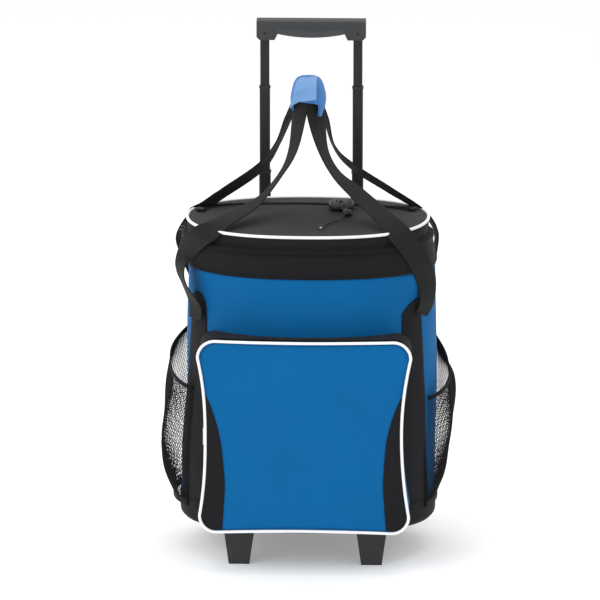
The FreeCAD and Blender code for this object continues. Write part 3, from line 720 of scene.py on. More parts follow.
class Finishes:
    """Every material of the bag, by name."""

    def __init__(self) -> None:
        """Build the shader groups once and every material from them."""
        groups = {"weave": weave_group(), "ribs": rib_group(), "mottle": mottle_group()}
        finishes = [
            Cloth("blue_cloth", (0.0, 0.12, 0.335)),
            Cloth("black_cloth", (0.011, 0.011, 0.0125)),
            Cloth("charcoal_cloth", (0.037, 0.039, 0.042)),
            Cloth("tape_cloth", (0.008, 0.008, 0.009), threads=1600.0),
            Cloth("wrap_cloth", (0.062, 0.21, 0.52), threads=800.0, sheen=0.1),
            Cloth("wrap_flap_cloth", (0.17, 0.33, 0.60), threads=800.0, sheen=0.1),
            Cloth("net_yarn", (0.014, 0.014, 0.016), threads=2500.0, mottle=0.3),
            Webbing("strap_webbing", (0.0125, 0.013, 0.0135)),
            Moulded("black_plastic", (0.014, 0.014, 0.015), rough=0.55),
            Moulded("grip_plastic", (0.026, 0.029, 0.032), rough=0.5),
            Moulded("grip_rubber", (0.043, 0.047, 0.051), rough=0.65, depth=0.00008),
            Moulded("tyre_rubber", (0.014, 0.014, 0.015), rough=0.8, depth=0.0001),
            Moulded("puller_rubber", (0.01, 0.01, 0.011), rough=0.45),
            Moulded("board_plastic", (0.016, 0.016, 0.016), rough=0.6),
            Moulded("foam", (0.75, 0.77, 0.8), rough=0.85, grain=700.0, depth=0.0003),
            Brushed("coated_tube", (0.010, 0.010, 0.011), rough=0.45, metallic=0.2),
            Brushed("steel", (0.55, 0.55, 0.57)),
            Brushed("zip_lacquer", (0.02, 0.02, 0.02), rough=0.4, metallic=0.6),
            Brushed("bright_pull", (0.7, 0.7, 0.7), rough=0.3),
            Film("white_piping", (0.86, 0.86, 0.87), rough=0.4, wrinkle=900.0, depth=0.00002),
            Film("liner_film", (0.62, 0.65, 0.68), rough=0.35, metallic=0.5),
        ]
        self.made = {finish.name: finish.made(groups) for finish in finishes}

    def __getitem__(self, name: str) -> bpy.types.Material:
        """The material of that name."""
        return self.made[name]


# ---------------------------------------------------------------- the bag's shape


@dataclass
class BagForm:
    """The soft tub's outer surface by height and the way round (0 to 1, from the rear to +X)."""

    half_w: float
    half_d: float
    centre_y: float
    foot: float
    rim: float
    swell: float = 0.0035       # extra half width near the foot
    lean: float = 0.0055        # how far the middle stands towards +X
    crease: float = 0.0009      # height of the cloth's ripples

    def __post_init__(self) -> None:
        """Tabulate the unit plan and its outward normals."""
        plan = oval(self.half_w, self.half_d)
        scaled = plan / np.array([self.half_w, self.half_d])
        steep = np.sign(scaled) * np.abs(scaled) ** (PLAN_POWER - 1) / np.array([self.half_w, self.half_d])
        self.plan, self.normal = plan, unit(steep)
        self.grid = np.linspace(0, 1, len(plan), endpoint=False)
        step = np.linalg.norm(np.roll(plan, -1, 0) - plan, axis=1)
        self.girth = float(step.sum())

    def normals(self, s: Array) -> Array:
        """Outward directions in the plan at s."""
        return unit(np.stack([np.interp(s, self.grid, self.normal[:, k], period=1) for k in (0, 1)], -1))

    def at(self, s: Array, z: Array, outset: Array | float = 0.0, rippled: bool = True) -> Array:
        """Points of the surface: the plan moved along its normal, wider near the foot, then shifted sideways.

        Args:
            s: Way round, 0 to 1.
            z: Heights.
            outset: Distance outside the surface.
            rippled: Whether the cloth's ripples are added.

        Returns:
            Points, with a last axis of three.
        """
        s, z = np.broadcast_arrays(np.asarray(s, float), np.asarray(z, float))
        plan = np.stack([np.interp(s, self.grid, self.plan[:, k], period=1) for k in (0, 1)], -1)
        push = outset + self.swell * (1 - ease(z, self.foot + 0.05, self.foot + 0.28)) - 0.002 * ease(z, 0.3,
                                                                                                      0.4)
        if rippled:
            fade = ease(z, self.foot, self.foot + 0.05) * (1 - ease(z, self.rim - 0.05, self.rim))
            push = push + self.crease * fade * noise(s * self.girth, z)
        flat = plan + self.normals(s) * np.asarray(push)[..., None]
        shift = self.lean * ease(z, 0.12, 0.24) * (1 - ease(z, self.rim - 0.045, self.rim))
        return np.stack([flat[..., 0] + shift, flat[..., 1] + self.centre_y, z], -1)

    def way(self, x: float, front: bool = True) -> float:
        """Way round where the plan has that x, on the front or the rear.

        Args:
            x: Sideways place.
            front: Whether the front half is meant.

        Returns:
            The way round, 0 to 1.
        """
        side = self.plan[:, 1] <= 0 if front else self.plan[:, 1] > 0
        gap = np.where(side, np.abs(self.plan[:, 0] - x), np.inf)
        return float(self.grid[int(np.argmin(gap))])

    def front_y(self, x: Array) -> Array:
        """Depth of the front surface at sideways places x."""
        inside = np.clip(np.abs(x) / self.half_w, 0, 0.999)
        return self.centre_y - self.half_d * (1 - inside**PLAN_POWER) ** (1 / PLAN_POWER)


@dataclass
class Tub:
    """The blue tub: wall, black band, base trim, corner accents, rim zip and hinge strip."""

    form: BagForm
    finishes: Finishes
    across: int = 360
    wall: float = 0.0015

    def ring(self, name: str, heights: Array, outset: Array | float) -> bpy.types.Object:
        """A cloth band all the way round.

        Args:
            name: The piece's name.
            heights: Heights of its rows, from the foot up.
            outset: Distance outside the tub's surface, one a row or one for all.

        Returns:
            The new object, with a wall.
        """
        s = np.linspace(0, 1, self.across, endpoint=False)
        out = np.broadcast_to(np.asarray(outset, float), heights.shape)
        points = self.form.at(s[None, :], heights[:, None], out[:, None])
        return thicken(sheet_object(name, points, wrap_cols=True, flip=True), self.wall)

    def build(self) -> None:
        """Make every piece of the tub."""
        cloth = self.finishes
        foot, top = span("outer_shell")[0][2], span("outer_shell")[1][2]
        trim_top = span("base_trim")[1][2]
        shell = self.ring("blue_wall", np.linspace(foot, top, 70), 0.0)
        place(shell, "bag", cloth["blue_cloth"], "blue_fabric", "outer_shell")
        rim = span("upper_band")[1][2]
        z = np.linspace(top - 0.001, rim, 16)
        swell = 0.0012 + 0.0016 * np.sin(np.pi * (z - z[0]) / (z[-1] - z[0]))
        place(self.ring("black_band", z, swell), "bag", cloth["black_cloth"], "black_fabric", "upper_band")
        self.trim(trim_top)
        self.accents()
        self.rim_zip()
        self.stitches(top, trim_top)
        self.hinge_strip()
        self.lining()

    def lining(self) -> None:
        """Foam wall and silvery liner, both offsets of the wall's own surface, each with its floor."""
        shell_front = span("outer_shell")[0][1]
        foam, liner = span("insulation_foam"), span("liner")
        foam_wall = foam[1][0] - liner[1][0] - 0.0008
        self.cup("foam_wall", "insulation_foam", shell_front - foam[0][1] - 0.0002, foam_wall, "foam", "foam")
        self.cup("liner_cup", "liner", shell_front - liner[0][1], 0.0012, "liner_film", "liner_film")

    def cup(self, name: str, node: str, outset: float, wall: float, finish: str, slot: str) -> None:
        """An open-topped cup inside the wall: a ring of rows closed by a flat floor.

        Args:
            name: The piece's name.
            node: CAD node that it stands for, which gives its heights.
            outset: Distance outside the wall's surface, negative for inside.
            wall: Its thickness.
            finish: Name of its finish.
            slot: Name of its material slot, which is only logged.
        """
        low, high = span(node)
        s = np.linspace(0, 1, self.across, endpoint=False)
        points = self.form.at(s[None, :], np.linspace(low[2], high[2], 40)[:, None], outset, rippled=False)
        obj = sheet_object(name, points, wrap_cols=True, flip=True)
        close_rings(obj, self.across, 0, smooth=True)
        place(thicken(obj, wall), "bag", self.finishes[finish], slot, node)

    def trim(self, top: float) -> None:
        """Black foot of the wall: its lowest 9 mm turn under in a quarter circle."""
        low = span("base_trim")[0][2]
        radius = 0.009
        turn = np.linspace(np.pi / 2, 0, 8)
        z = np.concatenate([low + radius * (1 - np.sin(turn)), np.linspace(low + radius, top, 12)[1:]])
        inset = np.concatenate([radius * (np.cos(turn) - 1), np.zeros(11)])
        obj = self.ring("base_trim_cloth", z, 0.0016 + inset)
        place(obj, "bag", self.finishes["black_cloth"], "black_fabric", "base_trim")

    def accents(self) -> None:
        """Black strips at the front corners, wider towards the foot, with a rounded top edge."""
        low, high = span("accent_bands")
        parts = []
        for side, top_in, foot_in, reach in (
            (Side.RIGHT, 0.1245, 0.119, (0.1625, 0.1555, 0.1485)),
            (Side.LEFT, 0.1425, 0.124, (0.1665, 0.1690, 0.1600)),
        ):
            z = np.linspace(low[2] - 0.02, high[2] + 0.002, 60)
            share = (z - z[0]) / (z[-1] - z[0])
            fall = np.clip((share - 0.93) / 0.07, 0, 1) ** 2
            slant = 0.013 * np.clip((share - 0.90) / 0.10, 0, 1) if side is Side.RIGHT else 0.0
            outer = np.interp(z, (low[2], 0.2, high[2]), reach)
            inner = foot_in + (top_in - foot_in) * share + 0.004 * fall
            t = np.linspace(0, 1, 16)
            x = inner[:, None] * (1 - t) + np.minimum(outer, self.form.half_w * 0.998)[:, None] * t
            s_table = np.linspace(0.25, 0.5, 900)
            x_table = np.interp(s_table, self.form.grid, self.form.plan[:, 0])
            s = np.interp(x, x_table[::-1], s_table[::-1])
            s = s if side is Side.RIGHT else 1 - s
            drop = np.asarray(slant)[..., None] * (1 - t) + 0.004 * fall[:, None] * np.abs(2 * t - 1) ** 3
            points = self.form.at(s, z[:, None] - drop, 0.0011)
            parts.append(sheet_object(f"accent_{side.name.lower()}", points, flip=side is Side.LEFT))
        obj = thicken(joined("corner_accents", parts), 0.0012)
        place(obj, "bag", self.finishes["black_cloth"], "black_fabric", "accent_bands")

    def rim_zip(self) -> None:
        """Zip tape round three sides of the rim and its coil of small teeth."""
        low, high = span("main_zip_lower")
        s = np.linspace(0.105, 0.895, 300)
        z = np.linspace(low[2] - 0.006, high[2], 6)
        tape = self.form.at(s[None, :], z[:, None], 0.0019)
        place(thicken(sheet_object("main_zip_tape", tape, flip=True), 0.001), "bag",
              self.finishes["tape_cloth"], "zip_tape", "main_zip_lower")
        s = np.linspace(0.11, 0.89, 330)
        at = self.form.at(s, np.full(s.shape, high[2] + 0.0002), 0.0024)
        teeth = many_boxes("main_zip_teeth", at, np.gradient(at, axis=0), UP, (0.0013, 0.0032, 0.0016))
        place(teeth, "bag", self.finishes["zip_lacquer"], "zip_tape")

    def stitches(self, band_z: float, trim_z: float) -> None:
        """Rows of thread along the band's lower edge and the trim's upper edge."""
        s = np.linspace(0, 1, 300, endpoint=False)
        rows = [(band_z + 0.003, 0.0031), (trim_z - 0.003, 0.0018)]
        rings = [self.form.at(s, np.full(s.shape, z), out) for z, out in rows]
        along = [np.roll(ring, -1, 0) - ring for ring in rings]
        size = (0.0022, 0.0005, 0.0006)
        obj = many_boxes("wall_stitches", np.concatenate(rings), np.concatenate(along), UP, size)
        place(obj, "bag", self.finishes["net_yarn"], "black_fabric")

    def hinge_strip(self) -> None:
        """Fabric hinge that stands up behind the lid between the ends of the zip."""
        low, high = span("lid_hinge_strip")
        s = np.concatenate([np.linspace(0.903, 1.0, 30), np.linspace(0, 0.097, 30)[1:]])
        z = np.linspace(low[2] - 0.004, high[2], 8)
        points = self.form.at(s[None, :], z[:, None], 0.0016, rippled=False)
        obj = thicken(sheet_object("hinge_cloth", points, flip=True), 0.0012)
        place(obj, "bag", self.finishes["black_cloth"], "black_fabric", "lid_hinge_strip")


@dataclass
class Lid:
    """The zipped lid: domed top, skirt, white piping, upper zip half and the pocket zip across its rear."""

    finishes: Finishes
    across: int = 360
    dome: float = 0.003
    droop: float = 0.004        # how far the front edge hangs lower

    def __post_init__(self) -> None:
        """Read the lid's plan from the frame."""
        low, high = span("lid_skirt")
        self.half_w, self.half_d = (high[0] - low[0]) / 2, (high[1] - low[1]) / 2
        self.centre_y = (high[1] + low[1]) / 2
        self.foot, self.top = low[2], span("lid_top")[1][2]
        self.plan = oval(self.half_w, self.half_d, self.across)

    def outline(self, outset: float, z: Array) -> Array:
        """Rows of the lid's plan at the given heights, scaled outward by outset."""
        scale = 1 + outset / np.array([self.half_w, self.half_d])
        flat = self.plan * scale
        grid = np.broadcast_to(flat[None], (len(z), self.across, 2))
        high = np.broadcast_to(z[:, None, None], (len(z), self.across, 1))
        return np.concatenate([grid + [0, self.centre_y], high], -1)

    def height(self, x: Array, y: Array) -> Array:
        """Dome over the plan: highest in the middle, lower along the front edge, with slight ripples."""
        r2 = (x / self.half_w) ** 2 + ((y - self.centre_y) / self.half_d) ** 2
        middle = np.clip(1 - r2, 0, 1)
        return self.top - self.hang(y) + (self.dome + 0.0006 * noise(x, y, 2.0)) * middle

    def hang(self, y: Array) -> Array:
        """How much lower the top is at depth y: nothing at the rear, all of the droop at the front."""
        return self.droop * ease(-y, 0.02, 0.12)

    def build(self) -> None:
        """Make every piece of the lid."""
        shares = np.sin(np.linspace(0.002, np.pi / 2, 40))
        x = self.plan[None, :, 0] * shares[:, None]
        y = self.plan[None, :, 1] * shares[:, None] + self.centre_y
        top = np.stack([x, y, self.height(x, y)], -1)
        obj = sheet_object("lid_cover", top, wrap_cols=True)
        close_rings(obj, self.across, 0, smooth=True)
        place(thicken(obj, 0.0018), "lid", self.finishes["charcoal_cloth"], "charcoal_fabric", "lid_top")
        z = np.linspace(self.foot, self.top - 0.0015, 14)
        wave = 0.0012 * np.sin(np.pi * (z - z[0]) / (z[-1] - z[0]))
        rows = np.stack([self.outline(w, np.array([h]))[0] for w, h in zip(wave, z)])
        rows[..., 2] -= self.hang(rows[..., 1]) * np.linspace(0, 1, len(z))[:, None]
        skirt = thicken(sheet_object("skirt_cloth", rows, wrap_cols=True, flip=True), 0.0015)
        place(skirt, "lid", self.finishes["black_cloth"], "black_fabric", "lid_skirt")
        ring = self.outline(0.0008, np.array([self.top - 0.0002]))[0]
        ring[:, 2] = self.height(ring[:, 0], ring[:, 1]) - 0.0002
        pipe = swept("lid_piping_cord", ring, round_section(0.0021), UP, closed=True)
        place(pipe, "lid", self.finishes["white_piping"], "piping", "lid_piping")
        self.zip_half()
        self.pocket_zip()
        self.puller()
        self.slab("lid_foam", "lid_foam_slab", "foam", "foam")
        self.slab("lid_liner", "lid_lining", "liner_film", "liner_film")

    def slab(self, node: str, name: str, finish: str, slot: str) -> None:
        """A layer inside the lid, its top held under the drooping cover.

        Args:
            node: CAD node that it stands for.
            name: The piece's name.
            finish: Name of its finish.
            slot: Name of its material slot, which is only logged.
        """
        low, high = span(node)
        scale = (high[:2] - low[:2]) / 2 / [self.half_w, self.half_d]
        shares = np.concatenate([np.linspace(0.004, 1, 26), np.ones(4), np.linspace(1, 0.004, 26)])[:, None]
        fall = np.concatenate([np.zeros(26), np.linspace(0, 1, 6)[1:-1], np.ones(26)])[:, None]
        x = self.plan[None, :, 0] * scale[0] * shares
        y = self.plan[None, :, 1] * scale[1] * shares
        top = high[2] - (self.hang(y + self.centre_y) if node == "lid_foam" else 0 * y)
        points = np.stack([x, y + self.centre_y, top * (1 - fall) + low[2] * fall], -1)
        obj = sheet_object(name, points, wrap_cols=True)
        close_rings(obj, self.across, 0, (len(shares) - 1) * self.across)
        place(obj, "lid", self.finishes[finish], slot, node)

    def zip_half(self) -> None:
        """Upper zip tape, flaring from the skirt out to the teeth."""
        low, high = span("main_zip_upper")
        keep = slice(int(self.across * 0.1), int(self.across * 0.9) + 1)
        inner = self.plan[keep] * (1 + 0.001 / self.half_w)
        grow = ((high[0] - low[0]) / 2 + 0.0008) / self.half_w
        outer = self.plan[keep] * grow
        share = np.linspace(0, 1, 7)[:, None, None]
        flat = outer[None] * (1 - share) + inner[None] * share
        z = low[2] + 0.0004 + (high[2] - low[2] + 0.002) * share[:, :, 0] ** 1.5 * np.ones(len(inner))
        points = np.concatenate([flat + [0, self.centre_y], z[..., None]], -1)
        obj = thicken(sheet_object("lid_zip_tape", points, flip=True), 0.0009)
        place(obj, "lid", self.finishes["tape_cloth"], "zip_tape", "main_zip_upper")

    def puller(self) -> None:
        """Moulded puller lying on the lid: a ribbed pad, two twisted strands, a knot and a short tail."""
        z = float(self.height(np.array(0.045), np.array(0.045)))
        back = float(span("lid_puller")[1][1]) - 0.0005
        pad = pillow("puller_pad", np.array([0.0445, back - 0.023, z + 0.0068]),
                     np.array([0.034, 0.046, 0.0105]))
        bars = [pillow(f"rib_{k}", np.array([0.032 + 0.005 * k, back - 0.020, z + 0.0118]),
                       np.array([0.002, 0.03, 0.0025]))
                for k in range(6)]
        knot = pillow("knot", np.array([0.054, -0.022, z + 0.006]), np.array([0.013, 0.016, 0.010]), 2.2)
        t = np.linspace(0, 1, 60)
        strands = []
        for phase in (0.0, np.pi):
            run = np.stack([0.041 + 0.012 * t, 0.024 - 0.044 * t, z + 0.0125 - 0.005 * t], 1)
            run[:, 0] += 0.0026 * np.cos(9 * t + phase)
            run[:, 2] += 0.0022 * np.sin(9 * t + phase)
            strands.append(swept("strand", run, round_section(0.0014, 10), UP))
        knots = [[0.054, -0.022], [0.047, -0.040], [0.0385, -0.057], [0.027, -0.070], [0.0185, -0.090]]
        tail = flowing(np.array(knots), 80)
        rise = 0.0024 + 0.003 * (1 - np.linspace(0, 1, 80)) ** 3
        tail = np.column_stack([tail, self.height(tail[:, 0], tail[:, 1]) + rise])
        obj = joined("lid_puller_moulded", [pad, *bars, knot, *strands])
        place(obj, "lid_puller", self.finishes["puller_rubber"], "pull_rubber", "lid_puller")
        tip = swept("puller_cord_tip", tail[-6:] + [0, 0, 0.0001], round_section(0.0017, 14), UP)
        place(tip, "lid_puller", self.finishes["bright_pull"], "pull_metal")
        cord = swept("puller_cord", tail, round_section(0.0011, 12), UP)
        place(cord, "lid_puller", self.finishes["puller_rubber"], "pull_rubber")

    def pocket_zip(self) -> None:
        """Zip across the rear of the lid: both ends curve forward; it has teeth and end stops."""
        low, high = span("lid_pocket_zip")
        y = (low[1] + high[1]) / 2
        route = np.array([[-0.147, y - 0.042], [-0.138, y - 0.016], [low[0], y], [-0.05, y + 0.003],
                          [0.02, y + 0.003],
                          [high[0], y], [0.118, y - 0.011], [0.142, y - 0.03]])
        path = flowing(route, 160)
        path = np.column_stack([path, self.height(path[:, 0], path[:, 1]) + 0.0011])
        along = unit(np.gradient(path, axis=0))
        tape = swept("lid_pocket_tape", path, flat_section(0.013, 0.0012, 12), np.cross(UP, along))
        place(tape, "lid", self.finishes["tape_cloth"], "zip_tape", "lid_pocket_zip")
        at = even(path, 170) + [0, 0, 0.0009]
        teeth = many_boxes("lid_pocket_teeth", at, np.gradient(at, axis=0),
                           np.cross(UP, np.gradient(at, axis=0)), (0.0011, 0.0036, 0.001))
        place(teeth, "lid", self.finishes["zip_lacquer"], "zip_tape")
        ends = path[[0, -1]] + [0, 0, 0.0022]
        stops = many_boxes("lid_zip_end_stops", ends, along[[0, -1]], np.cross(UP, along[[0, -1]]),
                           (0.009, 0.012, 0.004))
        place(soften(stops, 0.0012), "lid", self.finishes["zip_lacquer"], "zip_metal")


def pillow(name: str, centre: Array, size: Array, power: float = 4.0) -> bpy.types.Object:
    """A rounded block: the superellipsoid |x|^n + |y|^n + |z|^n = 1, stretched to size.

    Args:
        name: The piece's name.
        centre: Its middle.
        size: Its full lengths.
        power: Exponent n; larger is squarer.

    Returns:
        The new object.
    """
    a = np.linspace(-np.pi / 2, np.pi / 2, 26)[1:-1, None]
    b = np.linspace(0, 2 * np.pi, 48, endpoint=False)[None]
    ball = np.stack([np.cos(a) * np.cos(b), np.cos(a) * np.sin(b), np.sin(a) + 0 * b], -1)
    ball = ball / (np.abs(ball) ** power).sum(-1, keepdims=True) ** (1 / power)
    obj = sheet_object(name, ball * size / 2 + centre, wrap_cols=True)
    close_rings(obj, b.size, 0, (a.size - 1) * b.size)
    return obj


# ---------------------------------------------------------------- pockets


@dataclass
class FrontPocket:
    """The zipped front pocket: bowed face, side accents, white piping, gusset and zip."""

    form: BagForm
    finishes: Finishes
    bow: float = 0.010          # how far the face's middle stands forward of its edge
    corner: float = 0.024
    arch: float = 0.004         # how far the middle of the bottom edge is raised
    sag: float = 0.002          # how far the middle of the top edge is lowered
    waist_skew: float = 0.002   # the left side is a little wider at the waist
    columns: int = 90

    def __post_init__(self) -> None:
        """Read the pocket's outline from the frame."""
        low, high = span("pocket_face_lower")
        up_low, up_high = span("pocket_face_upper")
        self.z0, self.z1 = low[2], up_high[2] + 0.004
        self.fold = up_low[2]
        self.face_y = low[1]
        self.half_top, self.half_base = up_high[0], high[0]
        self.half_waist = self.half_top - 0.012
        self.waist_z = self.z0 + 0.138
        self.zip_y = span("pocket_zip_rear")[0][1]

    def half(self, z: Array) -> Array:
        """Half width at height z: waisted by a square law, then rounded off near both ends."""
        ends = np.where(z > self.waist_z, self.half_top, self.half_base)
        reach = np.where(z > self.waist_z, self.z1 - self.corner - self.waist_z,
                         self.waist_z - self.z0 - self.corner)
        wide = self.half_waist + (ends - self.half_waist) * np.clip(np.abs(z - self.waist_z) / reach, 0,
                                                                    1) ** 2
        past = np.clip(np.maximum(z - (self.z1 - self.corner), self.z0 + self.corner - z), 0, self.corner)
        return wide - self.corner + np.sqrt(np.maximum(self.corner**2 - past**2, 0))

    def warp(self, x: Array, z: Array, lift: Array | float = 0.0) -> Array:
        """Bend the flat face: bowed forward in the middle, its bottom edge arched and its top edge sagging.

        Args:
            x: Sideways places.
            z: Heights on the flat pattern.
            lift: Distance in front of the face.

        Returns:
            Points in space.
        """
        u = np.clip(np.abs(x) / self.half_top, 0, 1)
        v = np.clip((z - self.z0) / (self.z1 - self.z0), 0, 1)
        bow = self.bow * (1 - u**2) * (0.35 + 0.65 * np.sin(np.pi * v))
        ripple = 0.0007 * noise(x, z, 5.0) * (1 - u**4)
        rise = (1 - u**2) * (self.arch * (1 - v) ** 6 - self.sag * v**6)
        skew = np.where(x < 0, -self.waist_skew, 0) * np.exp(-(((z - self.waist_z) / 0.06) ** 2))
        return np.stack([x + skew * u, self.face_y - bow - ripple - lift, z + rise], -1)

    def rows(self, count: int) -> Array:
        """Heights from bottom to top, closer together at the rounded corners."""
        t = np.linspace(0, np.pi, count)
        even_rows = np.linspace(0, 1, count)
        return self.z0 + (self.z1 - self.z0) * (0.5 * (1 - np.cos(t)) * 0.5 + even_rows * 0.5)

    def edge(self, count: int, lift: float = 0.0) -> Array:
        """The outline as a closed path: up the right side, over the top, down the left side and back.

        Args:
            count: How many points.
            lift: Distance in front of the face.

        Returns:
            Points in space, evenly spaced.
        """
        t = np.linspace(0, np.pi, 400)
        z = (self.z0 + self.z1) / 2 - (self.z1 - self.z0) / 2 * np.cos(t)
        x = self.half(z)
        flat = np.concatenate([np.stack([x, z], 1), np.stack([-x, z], 1)[::-1]])
        flat = even(flat, count, closed=True)
        return self.warp(flat[:, 0], flat[:, 1], lift)

    def bend(self, obj: bpy.types.Object) -> bpy.types.Object:
        """Bake a piece's transform into its mesh."""
        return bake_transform(obj)

    def build(self) -> None:
        """Make every piece of the pocket."""
        z = self.rows(90)
        x = self.half(z)[:, None] * np.linspace(-1, 1, self.columns)[None]
        zz = np.broadcast_to(z[:, None], x.shape)
        face = sheet_object("pocket_face", self.warp(x, zz), uv=np.stack([x, zz], -1))
        dress(thicken(face, 0.0015), self.finishes["blue_cloth"], "blue_fabric", "pocket_face_upper",
              "pocket_face_lower")
        self.bend(face)
        self.accents()
        cord = self.edge(420, 0.0012)
        pipe = swept("pocket_piping", cord, round_section(0.0020), REARWARD, closed=True)
        dress(pipe, self.finishes["white_piping"], "piping", "pocket_piping_upper", "pocket_piping_lower")
        self.bend(pipe)
        self.gusset()
        self.seams()

    def accents(self) -> None:
        """Black side panels of the face: their inner edge curves in to its narrowest at mid height."""
        low = span("pocket_accents_lower")[0][2]
        top = 0.2565
        knots = [[low, 0.1105], [0.098, 0.108], [0.128, 0.1065], [0.175, 0.1095], [0.197, 0.113],
                 [0.219, 0.119],
                 [0.242, 0.128], [top, 0.1385]]
        z = np.linspace(low + 0.0005, top, 90)
        inner = np.interp(z, *flowing(np.array(knots), 300).T)
        parts = []
        for side in Side:
            t = np.linspace(0, 1, 16)
            outer = np.maximum(self.half(z) - 0.001, inner + 0.0004)
            x = side.value * (inner[:, None] * (1 - t) + outer[:, None] * t)
            zz = np.broadcast_to(z[:, None], x.shape)
            points = self.warp(x, zz, 0.0011)
            parts.append(sheet_object(f"face_accent_{side.name.lower()}", points, uv=np.stack([x, zz], -1),
                                      flip=side is Side.LEFT))
        obj = thicken(joined("pocket_accents", parts), 0.001)
        dress(obj, self.finishes["black_cloth"], "black_fabric", "pocket_accents_upper",
              "pocket_accents_lower")
        self.bend(obj)

    def seams(self) -> None:
        """Thread along the accents' inner edges and just inside the piping."""
        rim = self.edge(520, 0.0009)
        middle = np.array([0, 0, (self.z0 + self.z1) / 2])
        inward = unit((middle - rim) * [1, 0, 1])
        at = rim + inward * 0.0045
        obj = many_boxes("pocket_stitches", at, np.roll(at, -1, 0) - at, inward, (0.0013, 0.0004, 0.0005))
        dress(obj, self.finishes["net_yarn"], "black_fabric")
        self.bend(obj)

    def wall(self, name: str, path: Array, front: Array | float, back: Array | float,
             rows: int = 10) -> bpy.types.Object:
        """Gusset cloth behind a stretch of the outline, from depth front to depth back.

        Args:
            name: The piece's name.
            path: Points of the outline.
            front: Depth of its front edge.
            back: Depth of its rear edge, one a point or one for all.
            rows: Rows of points between them.

        Returns:
            The new object, with a wall.
        """
        share = np.linspace(0, 1, rows)[:, None]
        y = np.broadcast_to(front, len(path))[None] * (1 - share) + np.broadcast_to(back,
                                                                                    len(path))[None] * share
        sink = 0.003 * share * ease(path[:, 2], self.z1 - 0.03, self.z1)[None]
        points = np.stack([np.broadcast_to(path[:, 0], y.shape), y, path[None, :, 2] - sink], -1)
        return thicken(sheet_object(name, points), 0.0015, offset=1.0)

    def gusset(self) -> None:
        """Side wall of the pocket: blue below the zip's ends, black zip tape and coil above."""
        path = self.edge(480)
        upper = path[:, 2] > self.fold
        first = int(np.argmax(upper))
        last = len(upper) - int(np.argmax(upper[::-1]))
        top = path[first:last]
        low = np.roll(path, -last, 0)[: len(path) - (last - first) + 1]
        touch = self.form.front_y(low[:, 0]) + 0.004
        obj = self.wall("gusset_cloth", low, low[:, 1] + 0.0005, touch, 14)
        place(obj, "bag", self.finishes["blue_cloth"], "blue_fabric", "pocket_gusset")
        rear = self.wall("zip_gusset_rear", top, self.zip_y + 0.0002, self.form.front_y(top[:, 0]) + 0.004,
                         14)
        place(rear, "bag", self.finishes["black_cloth"], "black_fabric", "pocket_zip_rear")
        front = self.wall("zip_gusset_front", top, top[:, 1] + 0.0005, self.zip_y - 0.0002)
        dress(front, self.finishes["black_cloth"], "black_fabric", "pocket_zip_front", "pocket_gusset_front")
        self.bend(front)
        coil = even(np.stack([top[:, 0], np.full(len(top), self.zip_y), top[:, 2]], 1), 300)
        along = np.gradient(coil, axis=0)
        out = unit(np.cross(along, [0, 1.0, 0]))
        teeth = many_boxes("pocket_zip_teeth", coil + out * 0.0016, along, REARWARD, (0.0012, 0.0036, 0.0016))
        place(teeth, "bag", self.finishes["zip_lacquer"], "zip_tape")


# How far each net stands off the wall at its fullest, as (height, distance) in millimetres.
BULGE = {
    Side.RIGHT: ((60, 0), (77, 2), (102, 13), (144, 24), (172, 27), (207, 27), (235, 24), (256, 15),
                 (288, 4), (316, 3)),
    Side.LEFT: ((60, 3), (68, 8), (99, 24), (130, 32), (149, 35), (190, 33), (237, 30), (277, 22), (311, 4),
                (316, 3)),
}


